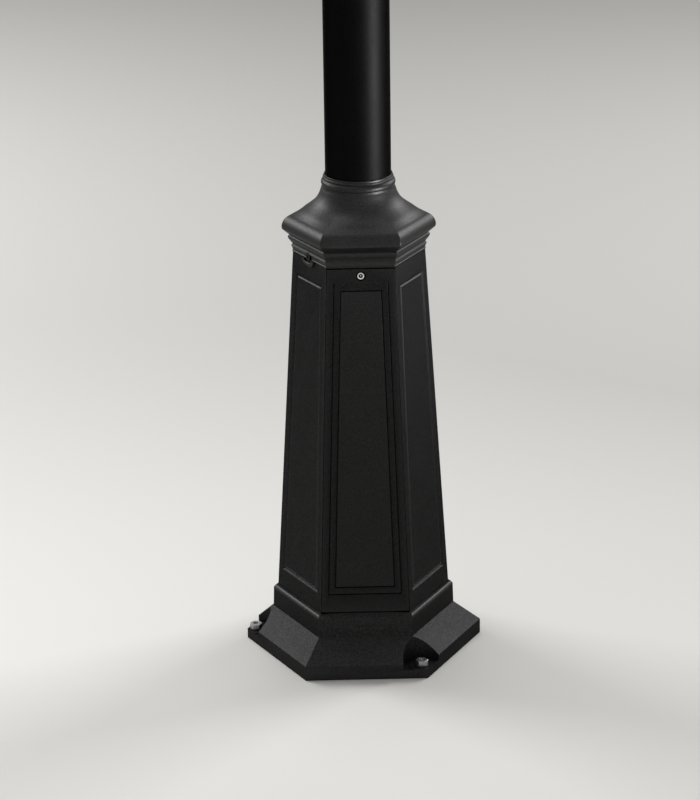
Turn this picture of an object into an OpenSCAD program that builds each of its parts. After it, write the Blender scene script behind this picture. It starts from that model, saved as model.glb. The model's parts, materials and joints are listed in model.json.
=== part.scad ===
// Double head lamp post: hexagonal cast base with an access door, a round pole and two lanterns.
// Millimetres, +Z up. The origin is the middle of the ground face. The door faces -Y and the
// arms run along X.

/* [Pole] */
// Outer diameter of the pole tube
pole_d = 76; // [66:1:84]
// Wall of the pole tube
pole_wall = 3; // [2:0.5:6]
// Height of the pole's top end above the ground
pole_top_z = 1700; // [1300:10:2400]
// Radial clearance of the pole in its sockets
pole_clear = 0.2; // [0.1:0.05:0.4]

/* [Base] */
// Radius of the foot at its front corners
foot_r = 144; // [138:1:160]
// Radius of the left and right corners as a share of the front ones
side_corner_share = 0.98; // [0.96:0.01:1]
// Height of the foot's upright edge
foot_h = 18; // [14:0.5:24]
// Height of the sloping bevel above the foot
bevel_h = 24; // [18:0.5:30]
// Corner radius at the top of the bevel
ridge_r = 111; // [108:0.5:116]
// Height of the upright band above the bevel
band_h = 23.5; // [18:0.5:30]
// Corner radius at the top of the band
band_r = 110.2; // [107:0.1:114]
// Height of the small chamfer above the band
step_h = 5.5; // [3:0.5:8]
// Corner radius at the foot of the column
column_foot_r = 104.7; // [100:0.1:107]
// Corner radius at the head of the column
column_head_r = 78.3; // [76:0.1:84]
// Height of the tapered column
column_h = 419; // [380:1:460]
// Wall of the base casting
base_wall = 7; // [5:0.5:9]
// Thickness of the plate that closes the column's head
head_plate_t = 8; // [6:0.5:12]

/* [Bolt pockets] */
// Radius of the upright scoop over each ground bolt
pocket_r = 26.5; // [24:0.5:30]
// Distance of the scoop's axis inside the foot's corner radius
pocket_inset = 5.5; // [4:0.5:8]
// Height of the scoop's floor above the ground
pocket_floor = 10.8; // [8:0.2:13]
// Wall of the scoop inside the casting
pocket_wall = 5; // [3:0.5:7]
// Distance of each bolt's axis inside the foot's corner radius
bolt_inset = 13.5; // [12:0.5:16]
// Diameter of the ground bolts
bolt_d = 8; // [6:1:10]
// Radial clearance of the ground bolts in the foot
bolt_clear = 0.7; // [0.4:0.1:1]
// Radius of the raised seat round each bolt
seat_r = 15; // [12:0.5:18]
// Height of the raised seat
seat_h = 1; // [0.5:0.1:2]
// Outer diameter of the washers
washer_d = 15; // [14:0.5:18]
// Thickness of the washers
washer_t = 1.6; // [1:0.1:2.5]
// Width of the bolt heads across their flats
bolt_head_w = 13; // [11:0.5:14]
// Height of the bolt heads
bolt_head_h = 5.3; // [4:0.1:7]

/* [Access door] */
// Thickness of the door
door_t = 5; // [4:0.5:6]
// Gap along the door's two long edges
door_side_gap = 0.4; // [0.2:0.1:0.8]
// Gap under the door
door_foot_gap = 1.1; // [0.6:0.1:2]
// Gap over the door
door_head_gap = 0.9; // [0.5:0.1:2]
// Gap between the door's back and its frame
door_back_gap = 0.3; // [0.2:0.1:0.6]
// Thickness of the frame behind the door
frame_t = 6; // [5:0.5:8]
// Width of the frame round the door opening
frame_w = 14; // [11:0.5:18]
// Height of the frame under the door opening
frame_foot = 26; // [22:1:40]
// Height of the frame over the door opening
frame_head = 42; // [38:1:50]
// Width of the engraved lines
line_w = 1.2; // [0.8:0.1:2]
// Depth of the engraved lines
line_depth = 0.9; // [0.5:0.1:1.5]
// Distance of the outer lines from the door's long edges
outer_line_inset = 8.3; // [7:0.1:10]
// Height of the outer cross line above the door's foot
outer_line_foot = 21.6; // [18:0.1:26]
// Distance of the outer lines' tops below the door's head
outer_line_head = 16.6; // [14:0.1:20]
// Distance of the inner lines from the door's long edges
inner_line_inset = 16; // [14:0.1:18]
// Height of the inner cross line above the door's foot
inner_line_foot = 30.4; // [28:0.1:34]
// Distance of the inner top line below the door's head
inner_line_head = 25.2; // [23:0.1:30]
// Width of each tongue that hooks the door behind the sill
tongue_w = 14; // [10:1:18]
// Thickness of each tongue
tongue_t = 2.8; // [2:0.1:3]
// Length of each tongue below the door
tongue_l = 10; // [7:0.5:12]
// Distance of the tongues from the middle of the door
tongue_x = 27; // [20:1:32]
// Running clearance round the tongues
tongue_clear = 1; // [0.6:0.1:1.2]

/* [Door screw] */
// Shank diameter of the door screw
door_screw_d = 5; // [4:0.5:6]
// Head diameter of the door screw
door_screw_head_d = 8.5; // [7.5:0.1:9.5]
// Head height of the door screw
door_screw_head_h = 2.8; // [2:0.1:3]
// Length of the door screw under its head
door_screw_l = 14; // [12:0.5:15]
// Distance of the door screw below the door's head
door_screw_drop = 8; // [7:0.5:9]
// Radial clearance of the door screw's head in its counterbore
door_head_clear = 1.5; // [0.5:0.1:2]
// Radial clearance of the door screw in the casting
door_screw_clear = 0.7; // [0.6:0.1:1]

/* [Side panels] */
// Width of the raised border beside the sunk panels
panel_inset = 9.5; // [8:0.5:14]
// Height of the border under and over the sunk panels
panel_border = 22.5; // [18:0.5:30]
// Depth of the sunk panels
panel_depth = 2; // [1:0.1:3]
// Width of the bevel round the sunk panels
panel_bevel = 2; // [1:0.1:3]

/* [Pole socket] */
// Wall of the socket sleeve round the pole
sleeve_wall = 7; // [5:0.5:8]
// Depth of the sleeve below the column's head
sleeve_depth = 50; // [40:1:70]
// Height of the sleeve above the column's head
sleeve_rise = 47; // [40:1:48]
// Height of the ledge that the pole stands on
ledge_h = 6; // [4:0.5:10]
// Width of the ledge that the pole stands on
ledge_w = 5; // [3:0.5:7]
// Diameter of the clamp screws
clamp_screw_d = 8; // [6:1:10]
// Height of the clamp screws above the column's head
clamp_screw_rise = 28; // [22:1:30]

/* [Cap] */
// Corner radius of the cap's rim
rim_r = 77.7; // [76:0.1:78]
// Corner radius of the cap's lower bead
bead_r = 79.8; // [78.5:0.1:81]
// Height of the cap's lower bead
bead_h = 9.5; // [8:0.5:11]
// Corner radius at the top of the cove
cove_r = 84.6; // [83:0.1:87]
// Height of the cove
cove_h = 12; // [10:0.5:14]
// Corner radius of the shoulder's lower edge
shoulder_r = 91.5; // [89:0.1:94]
// Height of the undercut below the shoulder
undercut_h = 7; // [5:0.5:8]
// Corner radius at the top of the shoulder
shoulder_top_r = 79.6; // [77:0.1:82]
// Height of the rounded shoulder
shoulder_h = 16; // [14:0.5:18]
// Height of the flared bell between the shoulder and the neck
bell_h = 32; // [28:0.5:34]
// Wall of the neck round the pole
neck_wall = 3.4; // [2.5:0.1:4.5]
// Height of the neck above the bell
neck_h = 17.5; // [16:0.5:22]
// Wall of the cap
cap_wall = 5; // [3.5:0.5:6]
// Height of the spigot that centres the cap on the column
spigot_h = 12; // [10:0.5:16]
// Gap between the spigot and the cap
spigot_gap = 0.4; // [0.3:0.1:0.8]
// Radius of the two screw lugs on the cap's rim
lug_r = 9.5; // [8:0.5:11]
// Height of the lug screws above the column's head
lug_rise = 4.8; // [4:0.1:6]
// Distance that the lugs stand out from the rim
lug_out = 3.6; // [2.5:0.1:5]
// Diameter of the lug screws
lug_screw_d = 5; // [4:0.5:6]

/* [Wiring] */
// Width of the gear plate
gear_plate_w = 64; // [56:1:70]
// Height of the gear plate
gear_plate_h = 170; // [150:1:200]
// Thickness of the gear plate
gear_plate_t = 2; // [1.5:0.5:3]
// Height of the gear plate's lower edge above the ground
gear_plate_z = 180; // [150:5:200]
// Distance of the gear plate behind the column's axis
gear_plate_y = 54; // [50:1:56]
// Width of the junction box
box_w = 58; // [50:1:60]
// Height of the junction box
box_h = 104; // [90:1:115]
// Depth of the junction box
box_d = 32; // [26:1:40]
// Wall of the junction box
box_wall = 2.5; // [2:0.5:3]
// Thickness of the junction box lid
lid_t = 3; // [2:0.5:4]
// Length of the cable gland outside the box
gland_l = 16; // [12:1:20]
// Diameter of the cable gland
gland_d = 20; // [16:1:22]
// Diameter of the earth stud
earth_d = 6; // [5:1:8]

/* [Head] */
// Wall of the head casting's sleeve
hub_wall = 7; // [6:0.5:9]
// Depth of the sleeve over the pole
hub_sleeve_h = 50; // [40:1:52]
// Height of the arm chamber above the pole's end
chamber_h = 60; // [54:1:70]
// Outer diameter of the arms
arm_d = 34; // [30:1:36]
// Wall of the arms
arm_wall = 2.5; // [2:0.5:4]
// Distance from the pole's axis to each lantern's axis
arm_reach = 230; // [225:1:260]
// Radius of the arm's bend at its centre line
arm_bend_r = 60; // [52:1:66]
// Length of the upright end of each arm
arm_end_l = 26; // [20:1:34]
// Length of the hub's side sockets from the pole's axis
hub_socket_l = 80; // [72:1:90]
// Radial clearance of the arms in their sockets
arm_clear = 0.2; // [0.1:0.05:0.4]
// Width of the scroll bars
scroll_w = 14; // [10:1:18]
// Thickness of the scroll bars
scroll_t = 6; // [4:0.5:8]
// Radius of the scroll's main sweep
scroll_r = 92; // [86:1:96]
// Radius of the first turn of each scroll end
curl_r = 20; // [16:1:22]
// Length of the straight seat at each end of the scroll's sweep
scroll_seat_l = 24; // [20:1:28]
// Height of the collar that holds the scrolls on the pole
collar_h = 30; // [26:1:36]
// Wall of the collar that holds the scrolls
collar_wall = 5; // [4:0.5:7]

/* [Lantern] */
// Corner radius of the lantern frame's foot
lantern_foot_r = 66; // [62:1:70]
// Corner radius of the lantern frame's head
lantern_head_r = 98; // [92:1:104]
// Height of the lantern frame
lantern_h = 200; // [190:1:230]
// Width of the frame's corner bars on each face
bar_w = 7; // [5:0.5:9]
// Depth of the frame behind its faces
bar_t = 6; // [5:0.5:8]
// Height of the frame's lower and upper rails
rail_h = 12; // [9:0.5:16]
// Thickness of the glass panes
glass_t = 3; // [2:0.5:4]
// Gap between each pane and its frame
glass_gap = 0.3; // [0.2:0.1:0.5]
// Height of the tray under the lantern
tray_h = 16; // [13:0.5:20]
// Thickness of the tray's floor
tray_floor = 5; // [4:0.5:7]
// Distance that the roof stands out from the frame
eave_out = 14; // [13:0.5:18]
// Thickness of the roof's edge
eave_h = 4; // [3:0.5:6]
// Height of the roof above its edge
roof_h = 74; // [60:1:90]
// Wall of the roof
roof_wall = 3; // [2.5:0.5:4]
// Corner radius of the roof's top
roof_top_r = 34; // [30:1:38]
// Gap between the roof and the frame
roof_gap = 0.3; // [0.2:0.1:0.6]
// Diameter of the roof hinge pin
hinge_pin_d = 4; // [3:0.5:5]
// Radial clearance of the hinge pin
hinge_clear = 0.1; // [0.05:0.05:0.2]
// Diameter of the roof's thumbscrew
thumb_d = 4; // [3:0.5:5]
// Diameter of the thumbscrew's knurled head
thumb_head_d = 13; // [11:0.5:15]
// Outer radius of the vent
vent_r = 24; // [20:0.5:26]
// Height of the vent
vent_h = 24; // [18:1:30]
// Radius of the finial's ball
ball_r = 8; // [6:0.5:10]

/* [Lamp] */
// Radius of the lamp's glass bulb
bulb_r = 30; // [25:0.5:32]
// Length of the lamp from its contact to its tip
bulb_l = 105; // [98:1:112]
// Thickness of the lamp's glass
bulb_wall = 0.8; // [0.6:0.1:1.5]
// Radius of the lamp's screw cap
cap_shell_r = 13; // [12:0.5:13.5]
// Length of the lamp's screw cap
cap_shell_l = 26; // [22:0.5:28]
// Outer radius of the lampholder
holder_r = 19; // [17.5:0.5:22]
// Height of the lampholder
holder_h = 46; // [40:1:50]
// Diameter of the threaded tube that carries the lampholder
nipple_d = 10; // [8:1:12]

/* [Hidden] */
$fn = 48;

// Overrun of every cut past the face it opens
cut = 1;
// Small gap between parts that only sit side by side
seat_gap = 0.3;

// Colours of the finishes
powder_black = [0.07, 0.07, 0.075];
cap_black = [0.12, 0.12, 0.125];
zinc = [0.72, 0.73, 0.74];
steel = [0.62, 0.62, 0.63];
brass = [0.78, 0.62, 0.3];
grey_plastic = [0.6, 0.61, 0.62];
ivory = [0.9, 0.88, 0.8];
clear_glass = [0.85, 0.92, 0.95, 0.35];
warm = [0.95, 0.7, 0.3];

// Heights of the base
ridge_z = foot_h + bevel_h;
band_z = ridge_z + band_h;
step_z = band_z + step_h;
head_z = step_z + column_h;

// Shapes of a hexagon whose corner radius is 1
flat_share = cos(30);
side_edge = [side_corner_share - 0.5, flat_share];
side_edge_share = norm(side_edge);
side_turn = atan2(side_edge[0], side_edge[1]);
side_flat_share = side_corner_share * flat_share / side_edge_share;
side_mid_share = (1 - side_corner_share) / 2 * (1 + side_corner_share) / side_edge_share;

// Front facet of the column
pole_r = pole_d / 2;
front_foot_y = column_foot_r * flat_share;
front_head_y = column_head_r * flat_share;
front_lean = atan2(front_foot_y - front_head_y, column_h);
front_l = column_h / cos(front_lean);
side_lean = atan2((column_foot_r - column_head_r) * side_flat_share, column_h);
side_l = column_h / cos(side_lean);

// Pole and its socket
bore_r = pole_r + pole_clear;
sleeve_r = bore_r + sleeve_wall;
sleeve_z = head_z - sleeve_depth;
sleeve_top_z = head_z + sleeve_rise;
pole_foot_z = sleeve_z + ledge_h;
clamp_turns = [90, 210, 330];

// Distance of the lugs from the perpendicular of their facets
lug_y = rim_r * side_mid_share;

// Heights of the cap above its foot
cove_z = bead_h + cove_h;
shoulder_z = cove_z + undercut_h;
bell_z = shoulder_z + shoulder_h;
neck_z = bell_z + bell_h;
cap_h = neck_z + neck_h;
neck_bead_r = 4;
neck_bead_out = 1;
neck_bead_share = 0.43;
neck_bead_z = neck_bead_share * neck_h;
neck_top_wall = 1.2;
neck_r = bore_r + neck_wall;

// Bolts
bolt_circle_r = foot_r - bolt_inset;
pocket_angles = [60, 180, 300];
seat_z = pocket_floor + seat_h;
dimple_share = 0.3;

// Overrun of the door's recess past the edges of its facet
recess_over = 0.1;
// Height of the tongue slots above the facet's foot, for the door's back as it tilts
tongue_rise = 3;

// Door screw, measured on the front facet
door_screw_y = front_l - door_head_gap - door_screw_drop;
screw_boss_wall = 4.8;
screw_boss_r = door_screw_d / 2 + door_screw_clear + screw_boss_wall;
frame_back = door_t + door_back_gap + frame_t;
socket_share = 0.75;
socket_w_share = 0.8;
socket_pin_share = 0.2;

// Shares of a small screw's diameter in its head's and its socket's radius
small_head_share = 0.9;
small_socket_share = 0.4;

// Junction box and gear plate
plate_front_y = gear_plate_y - gear_plate_t;
box_front_y = plate_front_y - box_d;
box_z = gear_plate_z + (gear_plate_h - box_h) / 2;
gear_hole_inset = 14;
gear_screw_d = 5;
gear_screw_zs = [gear_plate_z + gear_hole_inset, gear_plate_z + gear_plate_h - gear_hole_inset];
gear_boss_r = 7;
lid_screw_d = 4;
lid_boss_r = 4.5;
gland_x_share = 0.2;
gland_x = gland_x_share * box_w;
gland_thread_in = 2;
gland_nut_in = 1;
gland_ring_in = 3;
gland_hex_share = 0.35;
gland_nut_share = 0.8;
terminal_w = 42;
terminal_h = 22;
terminal_d = 16;
terminal_ways = 3;
terminal_row_shares = [0.25, 0.75];
terminal_screw_share = 0.2;
earth_x = 34;
earth_z = 130;
earth_l = 30;
earth_nut_w = 10;
earth_nut_h = 5;
earth_nut_shares = [0.4, 0.8];

// Head casting
hub_r = bore_r + hub_wall;
hub_z = pole_top_z - hub_sleeve_h;
hub_top_z = pole_top_z + chamber_h;
arm_r = arm_d / 2;
arm_z = pole_top_z + chamber_h / 2;
chamber_r = pole_r - ledge_w;
arm_start_x = hub_r - 3 * arm_wall;
arm_bore_r = arm_r + arm_clear;
arm_socket_r = arm_bore_r + hub_wall;
hub_screw_z = hub_z + hub_sleeve_h / 3;
set_screw_d = 6;
hub_screw_turns = [30, 150, 270];
collar_screw_turns = [90, 270];
hub_bead_share = 2.5;
socket_bead_share = 0.8;
arm_screw_x = hub_socket_l - 2 * set_screw_d;

// Scroll bracket
collar_r = bore_r + collar_wall;
scroll_x = collar_r + scroll_t / 2;
scroll_top_z = arm_z - arm_r - scroll_t / 2;
scroll_foot_z = scroll_top_z - scroll_r;
collar_z = scroll_foot_z - scroll_seat_l / 2 - collar_h / 2;
curl_share = 0.72;
curl_steps = 4;
curl_end_share = 0.8;

// Arm cup and lantern
arm_top_z = arm_z + arm_bend_r + arm_end_l;
cup_web = 10;
cup_flange_r = 42;
cup_flange_h = 5;
cup_space = 12;
cup_skirt = 22;
lantern_z = arm_top_z + cup_space + cup_web;
frame_z = tray_h;
roof_z = frame_z + lantern_h + roof_gap;
roof_r = lantern_head_r + eave_out;
roof_hole_r = roof_top_r - 4 * roof_wall;
roof_top_z = roof_z + eave_h + roof_h;
vent_foot_in = 1;
vent_slots = 8;
vent_slot_shares = [0.3, 0.45];
vent_hat_shares = [0.6, 0.45];
nipple_r = nipple_d / 2;
nipple_clear = 0.2;
nipple_end = 3;
nipple_bore_share = 0.7;
nut_share = 1.6;
nut_w = nut_share * nipple_d;
nut_h = 4;
holder_z = tray_h + nut_h;
holder_floor = 10;
holder_step = 2;
holder_clear = 0.8;
holder_foot_share = 0.8;
holder_skirt_share = 0.3;
bulb_z = holder_z + holder_floor;
tray_screw_d = 4;
tray_screw_r = 34;
tray_screw_turns = [0, 120, 240];
tray_foot_share = 1.1;
tray_edge_share = 0.6;
tray_lip = 2;
crown_out = 2;
knuckle_wall = 2.2;
hinge_r = hinge_pin_d / 2 + knuckle_wall;
hinge_y = (lantern_head_r + crown_out) * flat_share + hinge_r + 2 * seat_gap;
hinge_z = roof_z - hinge_r - 2 * seat_gap;
hinge_half = 14;
knuckle_gap = 0.4;
knuckle_web_share = 0.6;
knuckle_web_drop = 4;
pin_head_share = 0.75;
pin_head_t = 1.5;
thumb_lug_t = 6;
thumb_lug_r = 5.5;
thumb_y = lantern_head_r * flat_share + thumb_lug_r;
thumb_head_h = 8;
thumb_clear = 0.6;
thumb_l = 11;
thumb_ribs = 18;
thumb_rib_r = 0.8;

// Points of one corner of a hexagon, whose left and right corners lie at a share of the others
function corner(r, i, share) = (i % 3 == 0 ? share : 1) * r * [cos(60 * i), sin(60 * i)];

// Points of a hexagon at one height
function hexagon(r, z, share) = [for (i = [0:5]) [corner(r, i, share).x, corner(r, i, share).y, z]];

// Points of a four-sided outline at one height, from its two half widths and its two ends
function trapezoid(foot_half, head_half, foot_y, head_y, z) = [
  [-foot_half, foot_y, z], [foot_half, foot_y, z], [head_half, head_y, z], [-head_half, head_y, z]
];

// Closed solid through a list of rings with equal numbers of points
module skin(rings) {
  n = len(rings[0]);
  last = len(rings) - 1;
  points = [for (ring = rings) each ring];
  foot = [for (i = [0:n - 1]) i];
  head = [for (i = [n - 1:-1:0]) last * n + i];
  sides = [
    for (k = [0:last - 1], i = [0:n - 1])
      let (a = k * n + i, b = k * n + (i + 1) % n) [b, a, a + n, b + n]
  ];
  polyhedron(points, concat([foot], sides, [head]), convexity = 6);
}

// Hexagonal solid through a list of corner radii and heights
module hex_loft(profile, share = side_corner_share) {
  skin([for (p = profile) hexagon(p[0], p[1], share)]);
}

// Places its children on the column's front facet: X across, Y up the slope, Z outwards
module on_front() {
  translate([0, -front_foot_y, step_z]) rotate([90 - front_lean, 0, 0]) children();
}

// Places its children on one of the column's four side facets, at turn degrees from +X
module on_side(turn, lean) {
  rotate([0, 0, turn]) translate([column_foot_r * side_flat_share, 0, step_z])
    rotate([90, 0, 90]) rotate([-lean, 0, 0]) children();
}

// Corner radius of the column at a distance below its head
function column_r(drop) = column_head_r + (column_foot_r - column_head_r) * drop / column_h;

// Half width of the front facet at a height up its slope
function front_half(y) = (column_foot_r + (column_head_r - column_foot_r) * y / front_l) / 2;
function side_half(y) =
  (column_foot_r + (column_head_r - column_foot_r) * y / side_l) * side_edge_share / 2;

// Distance of a side facet's middle from the foot of its perpendicular, at a height up its slope
function side_mid(y) =
  (column_foot_r + (column_head_r - column_foot_r) * y / side_l) * side_mid_share;

// Slab over the front facet with mitred long edges, from depth z0 to z1 on the facet
module front_slab(y0, y1, z0, z1, gap) {
  mitre = tan(30);
  skin([
    for (z = [z0, z1])
      trapezoid(front_half(y0) - gap + z * mitre, front_half(y1) - gap + z * mitre, y0, y1, z)
  ]);
}

// Outline of the whole base casting, without its hollows
module base_outline() {
  hex_loft([
    [foot_r, 0], [foot_r, foot_h], [ridge_r, ridge_z], [band_r, band_z],
    [column_foot_r, step_z], [column_head_r, head_z]
  ]);
}

module base_hollow() {
  wall = base_wall / flat_share;
  difference() {
    hex_loft([
      [foot_r - 2 * wall, -cut], [foot_r - 2 * wall, foot_h / 2], [ridge_r - wall, ridge_z - wall],
      [band_r - wall, band_z], [column_foot_r - wall, step_z + wall],
      [column_head_r - wall, head_z - head_plate_t]
    ]);
    on_front() front_slab(-3 * base_wall, front_l + cut, -frame_back, cut, -foot_r);
  }
}

module pockets(r, z0, z1) {
  for (a = pocket_angles)
    rotate([0, 0, a]) translate([foot_r - pocket_inset, 0, z0]) cylinder(r = r, h = z1 - z0);
}

// Recess and bevelled edge of one sunk side panel; hand says which way its middle lies off centre
module side_panel(turn, hand) {
  y0 = panel_border;
  y1 = side_l - panel_border;
  on_side(turn, side_lean) skin([
    for (s = [[panel_bevel, -panel_depth], [-panel_bevel * cut / panel_depth, cut]])
      let (
        a = side_half(y0) - panel_inset - s[0],
        b = side_half(y1) - panel_inset - s[0],
        m = hand * side_mid(y0),
        n = hand * side_mid(y1)
      )
        [
          [m - a, y0 + s[0], s[1]], [m + a, y0 + s[0], s[1]],
          [n + b, y1 - s[0], s[1]], [n - b, y1 - s[0], s[1]]
        ]
  ]);
}

// Turns of the four side facets from +X, each with the hand of its middle
side_turns = [
  [side_turn, 1], [180 - side_turn, -1], [180 + side_turn, 1], [-side_turn, -1]
];
// Turns of the two facets that carry the cap's screw lugs
lug_turns = [side_turn, 180 + side_turn];

module base_casting() {
  color(powder_black) difference() {
    union() {
      difference() {
        base_outline();
        base_hollow();
      }
      intersection() {
        base_outline();
        pockets(pocket_r + pocket_wall, 0, ridge_z);
      }
      translate([0, 0, sleeve_z]) cylinder(r = sleeve_r, h = sleeve_top_z - sleeve_z);
      hex_loft([
        [rim_r - cap_wall / flat_share - spigot_gap, head_z - head_plate_t],
        [rim_r - cap_wall / flat_share - spigot_gap, head_z + spigot_h]
      ]);
      on_front() translate([0, door_screw_y, -frame_back - frame_t])
        cylinder(r = screw_boss_r, h = frame_t + cut);
      for (z = gear_screw_zs) intersection() {
        base_outline();
        translate([0, gear_plate_y, z]) rotate([-90, 0, 0]) cylinder(r = gear_boss_r, h = foot_r);
      }
    }
    difference() {
      translate([0, 0, head_z]) cylinder(r = 2 * column_head_r, h = spigot_h + cut);
      translate([0, 0, head_z - cut]) cylinder(r = sleeve_r, h = spigot_h + 3 * cut);
      difference() {
        hex_loft([
          [rim_r - cap_wall / flat_share - spigot_gap, head_z - cut],
          [rim_r - cap_wall / flat_share - spigot_gap, head_z + spigot_h]
        ]);
        translate([0, 0, head_z]) cylinder(r = sleeve_r + base_wall / 2, h = spigot_h + cut);
      }
    }
    translate([0, 0, pole_foot_z]) cylinder(r = bore_r, h = sleeve_top_z);
    translate([0, 0, sleeve_z - cut]) cylinder(r = pole_r - ledge_w, h = ledge_h + 2 * cut);
    pockets(pocket_r, pocket_floor, ridge_z + cut);
    for (a = pocket_angles)
      rotate([0, 0, a]) translate([bolt_circle_r, 0, -cut])
        cylinder(r = bolt_d / 2 + bolt_clear, h = ridge_z);
    for (t = side_turns) side_panel(t[0], t[1]);
    back_panel();
    on_front() {
      front_slab(-recess_over, front_l + cut, -door_t - door_back_gap, cut, -recess_over);
      door_opening();
      translate([0, door_screw_y, -frame_back - frame_t - cut])
        cylinder(r = door_screw_d / 2 + door_screw_clear, h = frame_back + frame_t);
      for (x = [-tongue_x, tongue_x]) translate([x, 0, 0]) tongue_slot();
    }
    for (a = clamp_turns)
      rotate([0, 0, a]) translate([0, 0, head_z + clamp_screw_rise]) rotate([0, 90, 0])
        cylinder(r = clamp_screw_d / 2 + seat_gap, h = foot_r);
    for (t = lug_turns)
      rotate([0, 0, t]) translate([sleeve_r + base_wall / 2 - cut, lug_y, head_z + lug_rise])
        rotate([0, 90, 0]) cylinder(r = lug_screw_d / 2 + seat_gap, h = foot_r);
    for (z = gear_screw_zs)
      translate([0, gear_plate_y - cut, z]) rotate([-90, 0, 0])
        cylinder(r = gear_screw_d / 2, h = 2 * gear_boss_r + cut);
  }
  color(powder_black) intersection() {
    base_outline();
    difference() {
      pockets_seats();
      for (a = pocket_angles)
        rotate([0, 0, a]) translate([bolt_circle_r, 0, 0])
          cylinder(r = bolt_d / 2 + bolt_clear, h = ridge_z);
    }
  }
}

// Raised seats round the bolts, kept inside their scoops
module pockets_seats() {
  intersection() {
    pockets(pocket_r, pocket_floor - cut, seat_z);
    for (a = pocket_angles)
      rotate([0, 0, a]) translate([bolt_circle_r, 0, pocket_floor - cut])
        cylinder(r = seat_r, h = seat_h + cut);
  }
}

module back_panel() {
  y0 = panel_border;
  y1 = front_l - panel_border;
  rotate([0, 0, 180]) on_front() skin([
    for (s = [[panel_bevel, -panel_depth], [-panel_bevel * cut / panel_depth, cut]])
      trapezoid(
        front_half(y0) - panel_inset - s[0], front_half(y1) - panel_inset - s[0],
        y0 + s[0], y1 - s[0], s[1]
      )
  ]);
}

module door_opening() {
  y0 = frame_foot;
  y1 = front_l - frame_head;
  skin([
    for (z = [-frame_back - cut, cut])
      trapezoid(front_half(y0) - frame_w, front_half(y1) - frame_w, y0, y1, z)
  ]);
}

module tongue_slot() {
  w = tongue_w + 2 * tongue_clear;
  l = tongue_l + tongue_clear;
  z1 = tongue_t - door_t + tongue_clear;
  translate([-w / 2, -l, -frame_back - base_wall]) cube([w, l + tongue_rise, frame_back + base_wall + z1]);
}

// One engraved frame of three or four lines on the door
module door_lines(inset, foot, head, closed) {
  y0 = door_foot_gap + foot;
  y1 = front_l - door_head_gap - head;
  difference() {
    skin([
      for (z = [-line_depth, cut]) trapezoid(front_half(y0) - inset, front_half(y1) - inset, y0, y1, z)
    ]);
    skin([
      for (z = [-line_depth - cut, 2 * cut])
        trapezoid(
          front_half(y0) - inset - line_w, front_half(y1) - inset - line_w,
          y0 + line_w, closed ? y1 - line_w : y1 + cut, z
        )
    ]);
  }
}

module access_door() {
  color(powder_black) on_front() {
    difference() {
      union() {
        front_slab(door_foot_gap, front_l - door_head_gap, -door_t, 0, door_side_gap);
        for (x = [-tongue_x, tongue_x])
          translate([x - tongue_w / 2, door_foot_gap - tongue_l, -door_t])
            cube([tongue_w, 2 * tongue_l, tongue_t]);
      }
      door_lines(outer_line_inset, outer_line_foot, outer_line_head, false);
      door_lines(inner_line_inset, inner_line_foot, inner_line_head, true);
      translate([0, door_screw_y, -door_t - cut])
        cylinder(r = door_screw_d / 2 + seat_gap, h = door_t + 2 * cut);
      translate([0, door_screw_y, -door_screw_head_h - seat_gap])
        cylinder(r = door_screw_head_d / 2 + door_head_clear, h = door_t);
    }
  }
}

// Six-sided socket with a pin in its middle
module pin_socket(w, depth) {
  difference() {
    cylinder(r = w / 2 / flat_share, h = depth + cut, $fn = 6);
    translate([0, 0, -cut]) cylinder(r = socket_pin_share * w, h = depth + cut);
  }
}

module door_screw() {
  color(steel) on_front() translate([0, door_screw_y, -door_screw_head_h]) difference() {
    union() {
      cylinder(r = door_screw_head_d / 2, h = door_screw_head_h);
      translate([0, 0, -door_screw_l]) cylinder(r = door_screw_d / 2, h = door_screw_l + cut);
    }
    translate([0, 0, door_screw_head_h * (1 - socket_share)])
      pin_socket(socket_w_share * door_screw_d, door_screw_head_h * socket_share);
  }
}

module anchor_bolts() {
  color(zinc) for (a = pocket_angles)
    rotate([0, 0, a]) translate([bolt_circle_r, 0, 0]) {
      cylinder(r = bolt_d / 2, h = seat_z + washer_t + cut);
      translate([0, 0, seat_z + washer_t]) difference() {
        cylinder(r = bolt_head_w / 2 / flat_share, h = bolt_head_h, $fn = 6);
        translate([0, 0, bolt_head_h * (1 - dimple_share)])
          cylinder(r = bolt_head_w / 4, h = bolt_head_h);
      }
    }
}

module anchor_washers() {
  color(zinc) for (a = pocket_angles)
    rotate([0, 0, a]) translate([bolt_circle_r, 0, seat_z]) difference() {
      cylinder(r = washer_d / 2, h = washer_t);
      translate([0, 0, -cut]) cylinder(r = bolt_d / 2 + seat_gap, h = washer_t + 2 * cut);
    }
}

// Bell: a hexagonal skirt that turns into a circle at its head, through bell_rings rings
bell_power_share = 2.2;
bell_round_share = 0.7;
bell_rings = 8;
bell_sides = 48;
bell_sink = 1;
bell_skirt = 0.1;
bell_lip = 1;

// Reach of a hexagon of corner radius 1 in a direction, and one ring of the bell
function hex_reach(a, share) =
  let (i = floor(a / 60), p = corner(1, i, share), q = corner(1, i + 1, share), d = q - p)
    (p.x * d.y - p.y * d.x) / (cos(a) * d.y - sin(a) * d.x);
function bell_ring(r, z, roundness) = [
  for (k = [0:bell_sides - 1])
    let (
      a = 360 * k / bell_sides,
      s = r * (roundness + (1 - roundness) * hex_reach(a, side_corner_share))
    )
      [s * cos(a), s * sin(a), z]
];

// Radius of the bell at a share of its height
function bell_r(u) =
  neck_r + bell_lip + (shoulder_top_r - neck_r - bell_lip) * pow(1 - u, bell_power_share);

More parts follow.
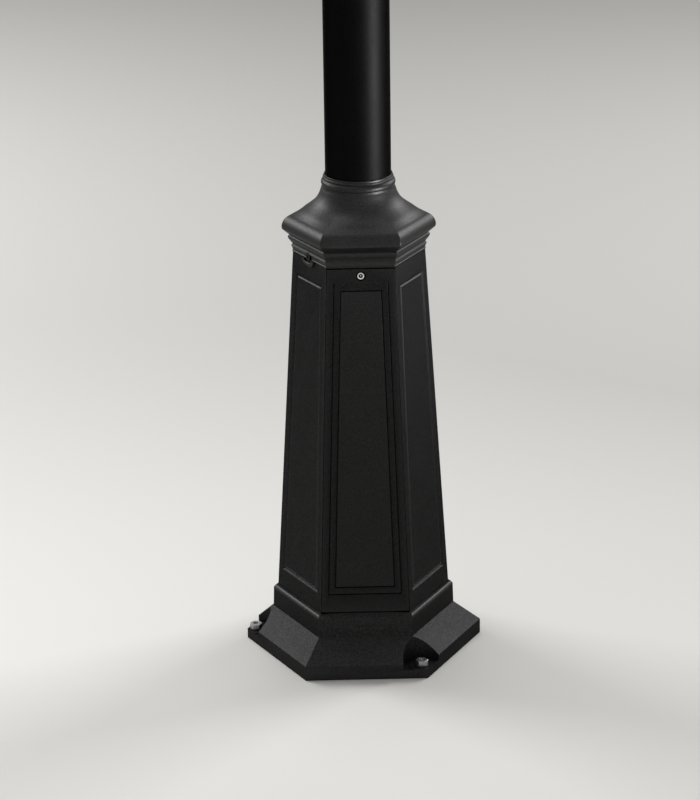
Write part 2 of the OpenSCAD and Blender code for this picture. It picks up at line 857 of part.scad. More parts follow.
shoulder_turns = [0, 18, 36, 54, 72, 90];
bead_rise_share = 0.3;
bead_reach_share = 0.8;
bead_full_share = 0.6;
cove_bend_share = 0.3;
groove_in = 0.8;
rim_profile = [
  [rim_r, 0], [rim_r + bead_reach_share * (bead_r - rim_r), bead_rise_share * bead_h],
  [bead_r, bead_full_share * bead_h], [bead_r, bead_h],
  [bead_r - groove_in, bead_h + groove_in / 2],
  [bead_r + cove_bend_share * (cove_r - bead_r), bead_h + cove_bend_share * cove_h],
  [cove_r, cove_z]
];

module column_cap() {
  wall = cap_wall / flat_share;
  color(cap_black) difference() {
    translate([0, 0, head_z]) union() {
      hex_loft(concat(
        rim_profile,
        [
          for (a = shoulder_turns)
            [shoulder_top_r + (shoulder_r - shoulder_top_r) * cos(a), shoulder_z + shoulder_h * sin(a)]
        ]
      ));
      skin(concat(
        [for (z = [-bell_sink, bell_skirt]) bell_ring(bell_r(0), bell_z + z, 0)],
        [
          for (k = [1:bell_rings])
            let (u = k / bell_rings)
              bell_ring(bell_r(u), bell_z + bell_h * u, pow(u, bell_round_share))
        ]
      ));
      translate([0, 0, neck_z]) neck_beads();
      for (t = lug_turns) rotate([0, 0, t]) cap_lug();
    }
    translate([0, 0, head_z]) {
      hex_loft([
        [rim_r - wall, -cut], [rim_r - wall, bead_h + cove_h / 2], [cove_r - wall, shoulder_z],
        [shoulder_top_r - 2 * wall, bell_z - 2 * cut]
      ]);
      translate([0, 0, shoulder_z])
        cylinder(r = sleeve_r + 3 * spigot_gap, h = sleeve_rise + 2 * cut - shoulder_z);
      cylinder(r = bore_r, h = cap_h + cut);
      for (t = lug_turns)
        rotate([0, 0, t]) translate([0, lug_y, lug_rise]) rotate([0, 90, 0]) {
          cylinder(r = lug_screw_d / 2 + seat_gap, h = foot_r);
          translate([0, 0, rim_r * side_flat_share + lug_out / 4])
            cylinder(r = lug_r - lug_out, h = foot_r);
        }
    }
    hex_loft([for (drop = [2 * lug_r, 0]) [column_r(drop) + seat_gap, head_z - drop]]);
  }
}

module neck_beads() {
  rotate_extrude() {
    translate([bore_r, -cut]) square([neck_r - bore_r, neck_bead_z + cut]);
    translate([bore_r, neck_bead_z]) square([neck_top_wall, neck_h - neck_bead_z]);
    translate([neck_r + neck_bead_out - neck_bead_r, neck_bead_z]) circle(r = neck_bead_r);
    translate([bore_r + neck_top_wall, neck_h - neck_bead_r]) circle(r = neck_bead_r / 3);
  }
}

// Half-round lug on the rim, in the direction of +X, for a screw into the spigot
module cap_lug() {
  x = rim_r * side_flat_share;
  translate([x - cap_wall / 2, lug_y, lug_rise]) rotate([0, 90, 0])
    cylinder(r = lug_r, h = cap_wall / 2 + lug_out);
}

module cap_screws() {
  color(steel) for (t = lug_turns)
    rotate([0, 0, t]) translate([0, lug_y, head_z + lug_rise]) rotate([0, 90, 0]) {
      translate([0, 0, rim_r * side_flat_share + lug_out / 4 - 2 * cap_wall])
        cylinder(r = lug_screw_d / 2, h = 2 * cap_wall + cut);
      translate([0, 0, rim_r * side_flat_share + lug_out / 4]) difference() {
        cylinder(r = small_head_share * lug_screw_d, h = lug_out / 2);
        translate([0, 0, lug_out / 4])
          cylinder(r = small_socket_share * lug_screw_d, h = lug_out, $fn = 6);
      }
    }
}

module pole() {
  color(powder_black) translate([0, 0, pole_foot_z]) difference() {
    cylinder(r = pole_r, h = pole_top_z - pole_foot_z);
    translate([0, 0, -cut]) cylinder(r = pole_r - pole_wall, h = pole_top_z - pole_foot_z + 2 * cut);
  }
}

// Headless screw with a six-sided socket, from its point outwards along +Z
module grub_screw(d, l) {
  difference() {
    cylinder(r = d / 2, h = l);
    translate([0, 0, l - d / 2]) cylinder(r = d / 4 / flat_share, h = d, $fn = 6);
  }
}

module pole_clamp_screws() {
  color(steel) for (a = clamp_turns)
    rotate([0, 0, a]) translate([pole_r, 0, head_z + clamp_screw_rise]) rotate([0, 90, 0])
      grub_screw(clamp_screw_d, sleeve_wall + clamp_screw_d / 2);
}

module gear_plate() {
  color(zinc) difference() {
    translate([-gear_plate_w / 2, plate_front_y, gear_plate_z])
      cube([gear_plate_w, gear_plate_t, gear_plate_h]);
    for (z = gear_screw_zs)
      translate([0, plate_front_y - cut, z]) rotate([-90, 0, 0])
        cylinder(r = gear_screw_d / 2 + seat_gap, h = gear_plate_t + 2 * cut);
  }
}

module gear_screws() {
  color(steel) for (z = gear_screw_zs)
    translate([0, plate_front_y, z]) rotate([90, 0, 0]) {
      difference() {
        cylinder(r = gear_screw_d, h = gear_screw_d / 2);
        translate([0, 0, gear_screw_d / 4]) cylinder(r = gear_screw_d / 3, h = gear_screw_d, $fn = 6);
      }
      translate([0, 0, -gear_plate_t - gear_boss_r])
        cylinder(r = gear_screw_d / 2 - seat_gap / 2, h = gear_plate_t + gear_boss_r + cut);
    }
}

module junction_box() {
  inner_w = box_w - 2 * box_wall;
  color(grey_plastic) difference() {
    union() {
      difference() {
        translate([-box_w / 2, box_front_y, box_z]) cube([box_w, box_d, box_h]);
        translate([-inner_w / 2, box_front_y - cut, box_z + box_wall])
          cube([inner_w, box_d - box_wall + cut, box_h - 2 * box_wall]);
      }
      for (p = lid_screw_places) intersection() {
        translate([-box_w / 2, box_front_y, box_z]) cube([box_w, box_d, box_h]);
        translate([p.x, box_front_y, p.y]) rotate([-90, 0, 0]) cylinder(r = lid_boss_r, h = box_d);
      }
    }
    for (p = lid_screw_places)
      translate([p.x, box_front_y - cut, p.y]) rotate([-90, 0, 0])
        cylinder(r = lid_screw_d / 2, h = box_d / 2);
    for (x = [-gland_x, gland_x])
      translate([x, box_front_y + box_d / 2, box_z - cut])
        cylinder(r = gland_d / 2 - gland_thread_in, h = box_wall + 2 * cut);
  }
}

// Corner places of the lid screws, across and up
lid_screw_places = [
  for (sx = [-1, 1], up = [0, 1])
    [sx * (box_w / 2 - lid_boss_r), up == 0 ? box_z + lid_boss_r : box_z + box_h - lid_boss_r]
];

module junction_lid() {
  color(grey_plastic) difference() {
    translate([-box_w / 2, box_front_y - lid_t, box_z]) cube([box_w, lid_t, box_h]);
    for (p = lid_screw_places)
      translate([p.x, box_front_y - lid_t - cut, p.y]) rotate([-90, 0, 0])
        cylinder(r = lid_screw_d / 2 + seat_gap, h = lid_t + 2 * cut);
  }
}

module lid_screws() {
  color(steel) for (p = lid_screw_places)
    translate([p.x, box_front_y - lid_t, p.y]) rotate([90, 0, 0]) {
      cylinder(r = small_head_share * lid_screw_d, h = lid_screw_d / 2);
      translate([0, 0, -3 * lid_screw_d])
        cylinder(r = lid_screw_d / 2 - seat_gap / 2, h = 3 * lid_screw_d + cut);
    }
}

module terminal_block() {
  pitch = terminal_w / terminal_ways;
  back_y = plate_front_y - box_wall;
  color(ivory) difference() {
    translate([-terminal_w / 2, back_y - terminal_d, box_z + box_h / 2])
      cube([terminal_w, terminal_d, terminal_h]);
    for (k = [0:terminal_ways - 1]) translate([pitch * (k + 1 / 2) - terminal_w / 2, 0, 0]) {
      translate([0, back_y - terminal_d / 2, box_z + box_h / 2 - cut])
        cylinder(r = pitch / 4, h = terminal_h + 2 * cut);
      for (up = terminal_row_shares)
        translate([0, back_y - terminal_d - cut, box_z + box_h / 2 + terminal_h * up])
          rotate([-90, 0, 0]) cylinder(r = terminal_screw_share * pitch, h = terminal_d / 4);
    }
    for (k = [1:terminal_ways - 1])
      translate([-terminal_w / 2 + pitch * k - cut / 2, back_y - terminal_d - cut, box_z])
        cube([cut, terminal_d / 4, box_h]);
  }
}

module cable_glands() {
  color(powder_black) for (x = [-gland_x, gland_x])
    translate([x, box_front_y + box_d / 2, box_z]) rotate([180, 0, 0]) difference() {
      union() {
        translate([0, 0, -box_wall - 3 * cut])
          cylinder(r = gland_d / 2 - gland_thread_in - seat_gap / 2, h = box_wall + 4 * cut);
        cylinder(r = gland_d / 2, h = gland_hex_share * gland_l, $fn = 6);
        cylinder(r = gland_d / 2 - gland_nut_in, h = gland_nut_share * gland_l);
        cylinder(r = gland_d / 2 - gland_ring_in, h = gland_l);
      }
      translate([0, 0, -box_wall - 4 * cut]) cylinder(r = gland_d / 4, h = 3 * gland_l);
    }
}

// Back wall of the hollow column at the earth stud
earth_wall_y = column_r(head_z - earth_z) * flat_share;

module earth_stud() {
  color(brass) translate([earth_x, earth_wall_y - base_wall - earth_l, earth_z]) rotate([-90, 0, 0])
    cylinder(r = earth_d / 2, h = earth_l - seat_gap);
}

module earth_nuts() {
  color(brass) for (share = earth_nut_shares)
    translate([earth_x, earth_wall_y - base_wall - share * earth_l, earth_z])
      rotate([-90, 0, 0]) difference() {
        cylinder(r = earth_nut_w / 2 / flat_share, h = earth_nut_h, $fn = 6);
        translate([0, 0, -cut]) cylinder(r = earth_d / 2 + seat_gap / 2, h = earth_nut_h + 2 * cut);
      }
}

// Turned ring with a bead at each end
module ring_with_beads(r_in, r_out, h, bead) {
  rotate_extrude() {
    translate([r_in, 0]) square([r_out - r_in, h]);
    for (z = [bead, h - bead]) translate([r_out, z]) circle(r = bead);
  }
}

module scroll_collar() {
  bead = collar_wall / 2;
  color(powder_black) translate([0, 0, collar_z]) difference() {
    union() {
      ring_with_beads(bore_r, collar_r - bead, collar_h, bead);
      for (m = [0, 1]) mirror([m, 0, 0])
        translate([bore_r, -scroll_w / 2, 0]) cube([collar_wall, scroll_w, collar_h]);
    }
    translate([0, 0, -cut]) cylinder(r = bore_r, h = collar_h + 2 * cut);
    for (a = collar_screw_turns)
      rotate([0, 0, a]) translate([0, 0, collar_h / 2]) rotate([0, 90, 0])
        cylinder(r = set_screw_d / 2 + seat_gap, h = foot_r);
  }
}

module collar_screws() {
  color(steel) for (a = collar_screw_turns)
    rotate([0, 0, a]) translate([pole_r, 0, collar_z + collar_h / 2]) rotate([0, 90, 0])
      grub_screw(set_screw_d, collar_wall + set_screw_d / 2);
}

module head_hub() {
  color(powder_black) translate([0, 0, hub_z]) difference() {
    union() {
      cylinder(r = hub_r, h = hub_top_z - hub_z);
      rotate_extrude() {
        translate([hub_r - set_screw_d / 2, 0]) {
          translate([0, set_screw_d]) circle(r = set_screw_d);
          translate([0, hub_bead_share * set_screw_d]) circle(r = set_screw_d / 2);
          translate([0, hub_sleeve_h - set_screw_d]) circle(r = set_screw_d);
          translate([0, hub_top_z - hub_z - set_screw_d]) circle(r = set_screw_d);
        }
      }
      translate([-hub_socket_l, 0, arm_z - hub_z]) rotate([0, 90, 0])
        cylinder(r = arm_socket_r, h = 2 * hub_socket_l);
      for (x = [-1, 1])
        translate([x * (hub_socket_l - set_screw_d), 0, arm_z - hub_z]) rotate([0, 90, 0])
          rotate_extrude() translate([arm_socket_r - set_screw_d / 2, 0])
            circle(r = socket_bead_share * set_screw_d);
      translate([0, 0, hub_top_z - hub_z]) cylinder(r1 = hub_r, r2 = hub_r / 2, h = hub_wall * 2);
    }
    translate([0, 0, -cut]) cylinder(r = bore_r, h = hub_sleeve_h + cut);
    cylinder(r = chamber_r, h = hub_top_z - hub_z - hub_wall);
    translate([0, 0, hub_top_z - hub_z - 2 * hub_wall]) cylinder(r = set_screw_d + seat_gap, h = foot_r);
    for (m = [0, 1]) mirror([m, 0, 0]) translate([0, 0, arm_z - hub_z]) rotate([0, 90, 0]) {
      cylinder(r = arm_r - arm_wall, h = hub_socket_l);
      translate([0, 0, arm_start_x]) cylinder(r = arm_bore_r, h = hub_socket_l);
    }
    for (a = hub_screw_turns)
      rotate([0, 0, a]) translate([0, 0, hub_screw_z - hub_z]) rotate([0, 90, 0])
        cylinder(r = set_screw_d / 2 + seat_gap, h = foot_r);
    for (x = [-arm_screw_x, arm_screw_x])
      translate([x, 0, -cut]) cylinder(r = set_screw_d / 2 + seat_gap, h = arm_z - hub_z);
  }
}

module hub_screws() {
  color(steel) {
    for (a = hub_screw_turns)
      rotate([0, 0, a]) translate([pole_r, 0, hub_screw_z]) rotate([0, 90, 0])
        grub_screw(set_screw_d, hub_wall + set_screw_d / 3);
    for (x = [-arm_screw_x, arm_screw_x])
      translate([x, 0, arm_z - arm_r]) rotate([180, 0, 0])
        grub_screw(set_screw_d, hub_wall + set_screw_d / 3);
  }
}

// Half outlines of a finial's foot and point, and its ball's height, as shares of the ball's radius
finial_foot_shares = [[0, 0], [1.5, 0], [1.5, 0.3], [0.6, 0.8], [0.6, 1.6], [0, 1.6]];
finial_point_shares = [[0, 2.9], [0.65, 2.9], [0.35, 3.5], [0, 5]];
finial_ball_share = 2.2;

// Turned finial: a stem, a ball and a point, standing on z = 0 over a threaded shank
module finial(r, shank_r, shank_l) {
  rotate_extrude() {
    polygon(finial_foot_shares * r);
    intersection() {
      translate([0, finial_ball_share * r]) circle(r = r);
      square([r, 4 * r]);
    }
    polygon(finial_point_shares * r);
    translate([0, -shank_l]) square([shank_r, shank_l + cut]);
  }
}

module hub_finial() {
  color(powder_black) translate([0, 0, hub_top_z + 2 * hub_wall])
    finial(2 * ball_r, set_screw_d, 3 * hub_wall);
}

// Right arm: a straight run, a quarter bend and an upright end, all bored through
module arm_solid(r) {
  bend_x = arm_reach - arm_bend_r;
  translate([arm_start_x, 0, arm_z]) rotate([0, 90, 0]) cylinder(r = r, h = bend_x - arm_start_x);
  translate([bend_x, 0, arm_z + arm_bend_r]) rotate([90, 0, 0]) rotate([0, 0, -90])
    rotate_extrude(angle = 90) translate([arm_bend_r, 0]) circle(r = r);
  translate([arm_reach, 0, arm_z + arm_bend_r]) cylinder(r = r, h = arm_end_l);
}

module arm_right() {
  color(powder_black) difference() {
    arm_solid(arm_r);
    arm_bore();
  }
}

module arm_bore() {
  r = arm_r - arm_wall;
  arm_solid(r);
  translate([arm_start_x - cut, 0, arm_z]) rotate([0, 90, 0]) cylinder(r = r, h = 2 * cut);
  translate([arm_reach, 0, arm_top_z - cut]) cylinder(r = r, h = 2 * cut);
}

module arm_left() mirror([1, 0, 0]) arm_right();

// Flat bar bent to an arc about c in the XZ plane, from one angle to another
module arc_bar(c, r, from, to) {
  translate([c[0], 0, c[1]]) rotate([90, 0, 0]) rotate([0, 0, from]) rotate_extrude(angle = to - from)
    translate([r - scroll_t / 2, -scroll_w / 2]) square([scroll_t, scroll_w]);
}

// Curl of quarter turns that shrink by curl_share, from an angle about c
module curl(c, r, from, turn, steps) {
  a = from + turn;
  arc_bar(c, r, min(from, a), max(from, a));
  if (steps > 1) {
    small = r * curl_share;
    curl(c + (r - small) * [cos(a), sin(a)], small, a, turn, steps - 1);
  } else {
    translate([c[0] + r * cos(a), 0, c[1] + r * sin(a)]) rotate([90, 0, 0])
      cylinder(r = curl_end_share * scroll_t, h = scroll_w, center = true);
  }
}

module scroll_right() {
  sweep = [scroll_x + scroll_r, scroll_foot_z];
  color(powder_black) {
    arc_bar(sweep, scroll_r, 90, 180);
    translate([scroll_x - scroll_t / 2, -scroll_w / 2, scroll_foot_z - scroll_seat_l])
      cube([scroll_t, scroll_w, scroll_seat_l]);
    curl([scroll_x + curl_r, scroll_foot_z - scroll_seat_l], curl_r, 180, 90, curl_steps);
    translate([sweep.x, -scroll_w / 2, scroll_top_z - scroll_t / 2])
      cube([scroll_seat_l, scroll_w, scroll_t]);
    curl([sweep.x + scroll_seat_l, scroll_top_z - curl_r], curl_r, 90, -90, curl_steps);
  }
}

module scroll_left() mirror([1, 0, 0]) scroll_right();

// Places its children at the right lantern's foot
module at_lantern() {
  translate([arm_reach, 0, lantern_z]) children();
}

module arm_cup_right() {
  r = arm_bore_r + hub_wall / 2;
  h = cup_web + cup_space + cup_skirt;
  color(powder_black) at_lantern() difference() {
    translate([0, 0, -h]) rotate_extrude() {
      square([r, h]);
      translate([r, set_screw_d / 2]) circle(r = set_screw_d / 2);
      polygon([
        [0, h / 2], [r, h / 2], [tray_screw_r - set_screw_d, h - cup_flange_h],
        [cup_flange_r, h - cup_flange_h], [cup_flange_r, h], [0, h]
      ]);
    }
    translate([0, 0, -h - cut]) cylinder(r = arm_bore_r, h = cup_skirt + cut);
    translate([0, 0, -h]) cylinder(r = arm_r - arm_wall, h = cup_skirt + cup_space);
    translate([0, 0, -h]) cylinder(r = nipple_r + nipple_clear, h = h + cut);
    for (a = tray_screw_turns)
      rotate([0, 0, a]) translate([tray_screw_r, 0, -h])
        cylinder(r = tray_screw_d / 2 + seat_gap, h = h + cut);
  }
}

module arm_cup_left() mirror([1, 0, 0]) arm_cup_right();

module lantern_tray_right() {
  color(powder_black) at_lantern() difference() {
    hex_loft([
      [tray_foot_share * cup_flange_r, 0], [lantern_foot_r - tray_floor, tray_floor],
      [lantern_foot_r + 2 * glass_t, tray_edge_share * tray_h],
      [lantern_foot_r + 2 * glass_t, tray_h - tray_lip],
      [lantern_foot_r + glass_t, tray_h]
    ], 1);
    difference() {
      hex_loft([
        [lantern_foot_r - 3 * bar_t, tray_floor], [lantern_foot_r - 2 * bar_t, tray_h + cut]
      ], 1);
      cylinder(r = nut_w, h = tray_h);
    }
    translate([0, 0, -cut]) cylinder(r = nipple_r + nipple_clear, h = tray_h + 2 * cut);
    for (a = tray_screw_turns)
      rotate([0, 0, a]) translate([tray_screw_r, 0, -cut])
        cylinder(r = tray_screw_d / 2, h = tray_floor + 2 * cut);
  }
}

module lantern_tray_left() mirror([1, 0, 0]) lantern_tray_right();

module tray_screws() {
  color(steel) for (m = [0, 1]) mirror([m, 0, 0]) at_lantern()
    for (a = tray_screw_turns) rotate([0, 0, a]) translate([tray_screw_r, 0, -cup_flange_h]) {
      cylinder(r = tray_screw_d / 2 - seat_gap / 2, h = cup_flange_h + tray_floor);
      translate([0, 0, -tray_screw_d / 2])
        cylinder(r = small_head_share * tray_screw_d, h = tray_screw_d / 2, $fn = 6);
    }
}

// Corner radius of the lantern's faces at a height above the frame's foot
function lantern_r(z) = lantern_foot_r + (lantern_head_r - lantern_foot_r) * z / lantern_h;
bar_r = bar_t / flat_share;

// Opening of one lantern face, as a tall solid along +X
module pane_opening() {
  z0 = rail_h;
  z1 = lantern_h - rail_h;
  skin([
    for (x = [lantern_foot_r / 3, 2 * lantern_head_r])
      [
        [x, -lantern_r(z0) / 2 + bar_w, z0], [x, lantern_r(z0) / 2 - bar_w, z0],
        [x, lantern_r(z1) / 2 - bar_w, z1], [x, -lantern_r(z1) / 2 + bar_w, z1]
      ]
  ]);
}

module lantern_frame_right() {
  color(powder_black) at_lantern() translate([0, 0, frame_z]) difference() {
    union() {
      hex_loft([[lantern_foot_r, 0], [lantern_head_r, lantern_h]], 1);
      hex_loft([
        [lantern_r(lantern_h - rail_h), lantern_h - rail_h],
        [lantern_head_r + crown_out, lantern_h - rail_h + crown_out],
        [lantern_head_r + crown_out, lantern_h]
      ], 1);
      frame_knuckles();
      thumb_lug();
    }
    hex_loft([
      [lantern_foot_r - bar_r, -cut / 10], [lantern_head_r - bar_r, lantern_h + cut / 10]
    ], 1);
    for (i = [0:5]) rotate([0, 0, 60 * i + 30]) pane_opening();
    translate([0, hinge_y, hinge_z - frame_z]) rotate([0, 90, 0])
      cylinder(r = hinge_pin_d / 2 + hinge_clear, h = 4 * hinge_half, center = true);
    translate([0, -thumb_y, lantern_h - thumb_lug_t - thumb_l])
      cylinder(r = thumb_d / 2 + thumb_clear, h = thumb_lug_t + thumb_l + cut);
  }
}

module lantern_frame_left() mirror([1, 0, 0]) lantern_frame_right();

// Two outer knuckles of the roof hinge, with webs to the frame
module frame_knuckles() {
  for (s = [-1, 1]) translate([s * hinge_half, hinge_y, hinge_z - frame_z]) rotate([0, 90, 0])
    translate([0, 0, -hinge_half / 3]) {
      cylinder(r = hinge_r, h = 2 * hinge_half / 3);
      translate([-knuckle_web_share * hinge_r, -hinge_r - knuckle_web_drop, 0])
        cube([(1 + knuckle_web_share) * hinge_r, hinge_r + knuckle_web_drop, 2 * hinge_half / 3]);
    }
}

module thumb_lug() {
  translate([0, -thumb_y, lantern_h - thumb_lug_t]) {
    cylinder(r = thumb_lug_r, h = thumb_lug_t);
    translate([-thumb_lug_r, 0, 0])
      cube([2 * thumb_lug_r, thumb_y - lantern_head_r * flat_share + bar_t / 2, thumb_lug_t]);
  }
}

module lantern_glass_right() {
  z0 = glass_gap;
  z1 = lantern_h - glass_gap;
  out = bar_r + glass_gap / flat_share;
  inner = out + glass_t / flat_share;
  color(clear_glass) at_lantern() translate([0, 0, frame_z]) difference() {
    hex_loft([[lantern_r(z0) - out, z0], [lantern_r(z1) - out, z1]], 1);
    hex_loft([[lantern_r(z0 - cut) - inner, z0 - cut], [lantern_r(z1 + cut) - inner, z1 + cut]], 1);
    for (i = [0:5]) rotate([0, 0, 60 * i])
      translate([0, -glass_gap / 2, -cut]) cube([2 * lantern_head_r, glass_gap, lantern_h + 2 * cut]);
  }
}

module lantern_glass_left() mirror([1, 0, 0]) lantern_glass_right();

// Corner radii and heights of the roof as shares of its own size, from edge to top
roof_shares = [[0.82, 0.1], [0.55, 0.32], [0.3, 0.58], [0.12, 0.82], [0, 1]];

function roof_profile(wall) =
  let (edge_r = roof_r - eave_out / 2, wide = edge_r - roof_top_r)
    [for (s = roof_shares) [roof_top_r + wide * s[0] - wall, eave_h + roof_h * s[1] - wall / 2]];

module roof_right() {
  wall = roof_wall / flat_share;
  color(powder_black) at_lantern() translate([0, 0, roof_z]) difference() {
    union() {
      hex_loft(concat(
        [[roof_r, 0], [roof_r, eave_h], [roof_r - eave_out / 2, eave_h]], roof_profile(0)
      ), 1);
      roof_knuckle();
    }
    hex_loft(concat([[lantern_head_r - bar_r, -cut / 10]], roof_profile(wall)), 1);
    cylinder(r = roof_hole_r, h = 2 * roof_h);
    translate([0, hinge_y, hinge_z - roof_z]) rotate([0, 90, 0])
      cylinder(r = hinge_pin_d / 2 + hinge_clear, h = 4 * hinge_half, center = true);
    translate([0, -thumb_y, -cut]) cylinder(r = thumb_d / 2 + seat_gap, h = eave_h + 2 * cut);
    translate([0, -thumb_y, eave_h]) cylinder(r = thumb_head_d / 2 + 2 * seat_gap, h = roof_h);
  }
}

module roof_left() mirror([1, 0, 0]) roof_right();

// Middle knuckle of the roof hinge
module roof_knuckle() {
  half = hinge_half * 2 / 3 - knuckle_gap;
  translate([0, hinge_y, hinge_z - roof_z]) rotate([0, 90, 0]) translate([0, 0, -half]) {
    cylinder(r = hinge_r, h = 2 * half);
    translate([-hinge_r - eave_h / 2, -hinge_r / 2, 0])
      cube([hinge_r + eave_h / 2, hinge_r, 2 * half]);
  }
}

module hinge_pin_right() {
  color(steel) at_lantern() translate([0, hinge_y, hinge_z]) rotate([0, 90, 0]) {
    cylinder(r = hinge_pin_d / 2, h = 2 * hinge_half * 4 / 3 + 2 * cut, center = true);
    for (s = [-1, 1])
      translate([0, 0, s * (hinge_half * 4 / 3 + seat_gap + pin_head_t / 2)])
        cylinder(r = pin_head_share * hinge_pin_d, h = pin_head_t, center = true);
  }
}

module hinge_pin_left() mirror([1, 0, 0]) hinge_pin_right();

module roof_vent_right() {
  foot_r_in = roof_top_r * flat_share - vent_foot_in;
  color(powder_black) at_lantern() translate([0, 0, roof_top_z]) difference() {
    rotate_extrude() {
      translate([roof_hole_r, 0]) square([foot_r_in - roof_hole_r, roof_wall]);
      translate([vent_r - roof_wall, 0]) square([roof_wall, vent_h]);
      polygon([
        [0, vent_h - roof_wall], [vent_r, vent_h - roof_wall], [vent_r + roof_wall, vent_h],
        [vent_r + roof_wall, vent_h + roof_wall],
        [vent_hat_shares[0] * vent_r, vent_h + 3 * roof_wall],
        [vent_hat_shares[1] * vent_r, vent_h + 4 * roof_wall], [0, vent_h + 4 * roof_wall]
      ]);
    }
    for (k = [0:vent_slots - 1])
      rotate([0, 0, 360 * (k + 1 / 2) / vent_slots])
        translate([vent_r / 2, -vent_r / 6, vent_slot_shares[0] * vent_h])
          cube([vent_r, vent_r / 3, vent_slot_shares[1] * vent_h]);
    cylinder(r = set_screw_d / 2 + seat_gap / 2, h = 2 * vent_h);
  }
}

module roof_vent_left() mirror([1, 0, 0]) roof_vent_right();

module roof_finial_right() {
  color(powder_black) at_lantern() translate([0, 0, roof_top_z + vent_h + 4 * roof_wall])
    finial(ball_r, set_screw_d / 2, 5 * roof_wall);
}

module roof_finial_left() mirror([1, 0, 0]) roof_finial_right();

module roof_thumbscrew_right() {
  color(brass) at_lantern() translate([0, -thumb_y, roof_z + eave_h + seat_gap]) difference() {
    union() {
      cylinder(r = thumb_head_d / 2, h = thumb_head_h);
      translate([0, 0, -thumb_l]) cylinder(r = thumb_d / 2, h = thumb_l + cut);
    }
    for (k = [0:thumb_ribs - 1])
      rotate([0, 0, 360 * k / thumb_ribs]) translate([(thumb_head_d + thumb_rib_r) / 2, 0, -cut])
        cylinder(r = thumb_rib_r, h = thumb_head_h + 2 * cut);
  }
}

module roof_thumbscrew_left() mirror([1, 0, 0]) roof_thumbscrew_right();

module holder_nipple_right() {
  foot = -cup_web - nut_h - nipple_end;
  head = holder_z + holder_floor / 2;
  color(brass) at_lantern() translate([0, 0, foot]) difference() {
    cylinder(r = nipple_r, h = head - foot);
    translate([0, 0, -cut]) cylinder(r = nipple_bore_share * nipple_r, h = head - foot + 2 * cut);
  }
}

module holder_nipple_left() mirror([1, 0, 0]) holder_nipple_right();

module nipple_nut() {
  difference() {
    cylinder(r = nut_w / 2 / flat_share, h = nut_h, $fn = 6);
    translate([0, 0, -cut]) cylinder(r = nipple_r + nipple_clear, h = nut_h + 2 * cut);
  }
}

module nipple_nuts() {
  color(brass) for (m = [0, 1]) mirror([m, 0, 0]) at_lantern() {
    translate([0, 0, tray_h]) nipple_nut();
    translate([0, 0, -cup_web - nut_h]) nipple_nut();
  }
}

module lampholder_right() {
  color(ivory) at_lantern() translate([0, 0, holder_z]) difference() {
    rotate_extrude() {
      square([holder_foot_share * nut_w, holder_floor]);
      translate([0, holder_floor / 2]) square([holder_r - holder_step, holder_h - holder_floor / 2]);
      translate([0, holder_floor]) square([holder_r, holder_skirt_share * holder_h]);
      translate([holder_r - holder_step, holder_h - holder_step]) circle(r = holder_step);
    }
    translate([0, 0, holder_floor]) cylinder(r = cap_shell_r + holder_clear, h = holder_h);
    translate([0, 0, -cut]) cylinder(r = nipple_r + nipple_clear, h = holder_floor + 2 * cut);
  }
}

module lampholder_left() mirror([1, 0, 0]) lampholder_right();

// Screw cap of the lamp: its contact, the slope above it and the rounded thread
contact_r = 4.8;
contact_slope_r = 9;
contact_slope_z = 5;
shell_foot_z = 7;
thread_foot_z = 8;
thread_r = 1.2;
thread_turns = 5;

module bulb_cap_right() {
  shell_r = cap_shell_r - thread_r;
  pitch = (cap_shell_l - thread_foot_z) / thread_turns;
  color(brass) at_lantern() translate([0, 0, bulb_z + seat_gap]) rotate_extrude() {
    polygon([
      [0, 0], [contact_r, 0], [contact_slope_r, contact_slope_z], [shell_r, shell_foot_z],
      [shell_r, cap_shell_l], [0, cap_shell_l]
    ]);
    for (k = [0:thread_turns - 1])
      translate([shell_r, thread_foot_z + pitch * (k + 1 / 2)]) circle(r = thread_r);
  }
}

module bulb_cap_left() mirror([1, 0, 0]) bulb_cap_right();

// Neck of the bulb, and the angle at which its sides meet the ball
bulb_neck_in = 1.4;
bulb_neck_out = 0.5;
bulb_neck_h = 8;
bulb_touch = 35;

// Outline of the bulb above its screw cap, made thinner by inset
module bulb_outline(inset) {
  centre_z = bulb_l - bulb_r - cap_shell_l;
  neck = cap_shell_r - bulb_neck_in - inset;
  intersection() {
    union() {
      translate([0, centre_z]) circle(r = bulb_r - inset);
      polygon([
        [0, inset], [neck, inset], [neck + bulb_neck_out, bulb_neck_h],
        [(bulb_r - inset) * cos(bulb_touch), centre_z - (bulb_r - inset) * sin(bulb_touch)],
        [0, centre_z]
      ]);
    }
    square([2 * bulb_r, 2 * bulb_l]);
  }
}

module bulb_glass_right() {
  color(clear_glass) at_lantern() translate([0, 0, bulb_z + cap_shell_l + seat_gap]) rotate_extrude()
    difference() {
      bulb_outline(0);
      bulb_outline(bulb_wall);
    }
}

module bulb_glass_left() mirror([1, 0, 0]) bulb_glass_right();

// Light rods on the lamp's stem
stem_h = 34;
stem_foot_r = 5;
stem_head_r = 2;
rods = 4;
rod_l = 30;
rod_r = 1;
rod_circle_r = 4;

module filament_right() {
  color(warm) at_lantern() translate([0, 0, bulb_z + cap_shell_l + seat_gap + bulb_wall]) {
    cylinder(r1 = stem_foot_r, r2 = stem_head_r, h = stem_h);
    for (k = [0:rods - 1]) rotate([0, 0, 360 * k / rods]) translate([0, 0, stem_h - rod_l / 4]) {
      translate([rod_circle_r, 0, 0]) cylinder(r = rod_r, h = rod_l);
      translate([0, -rod_r / 2, 0]) cube([rod_circle_r + rod_r, rod_r, rod_r]);
    }
  }
}

module filament_left() mirror([1, 0, 0]) filament_right();

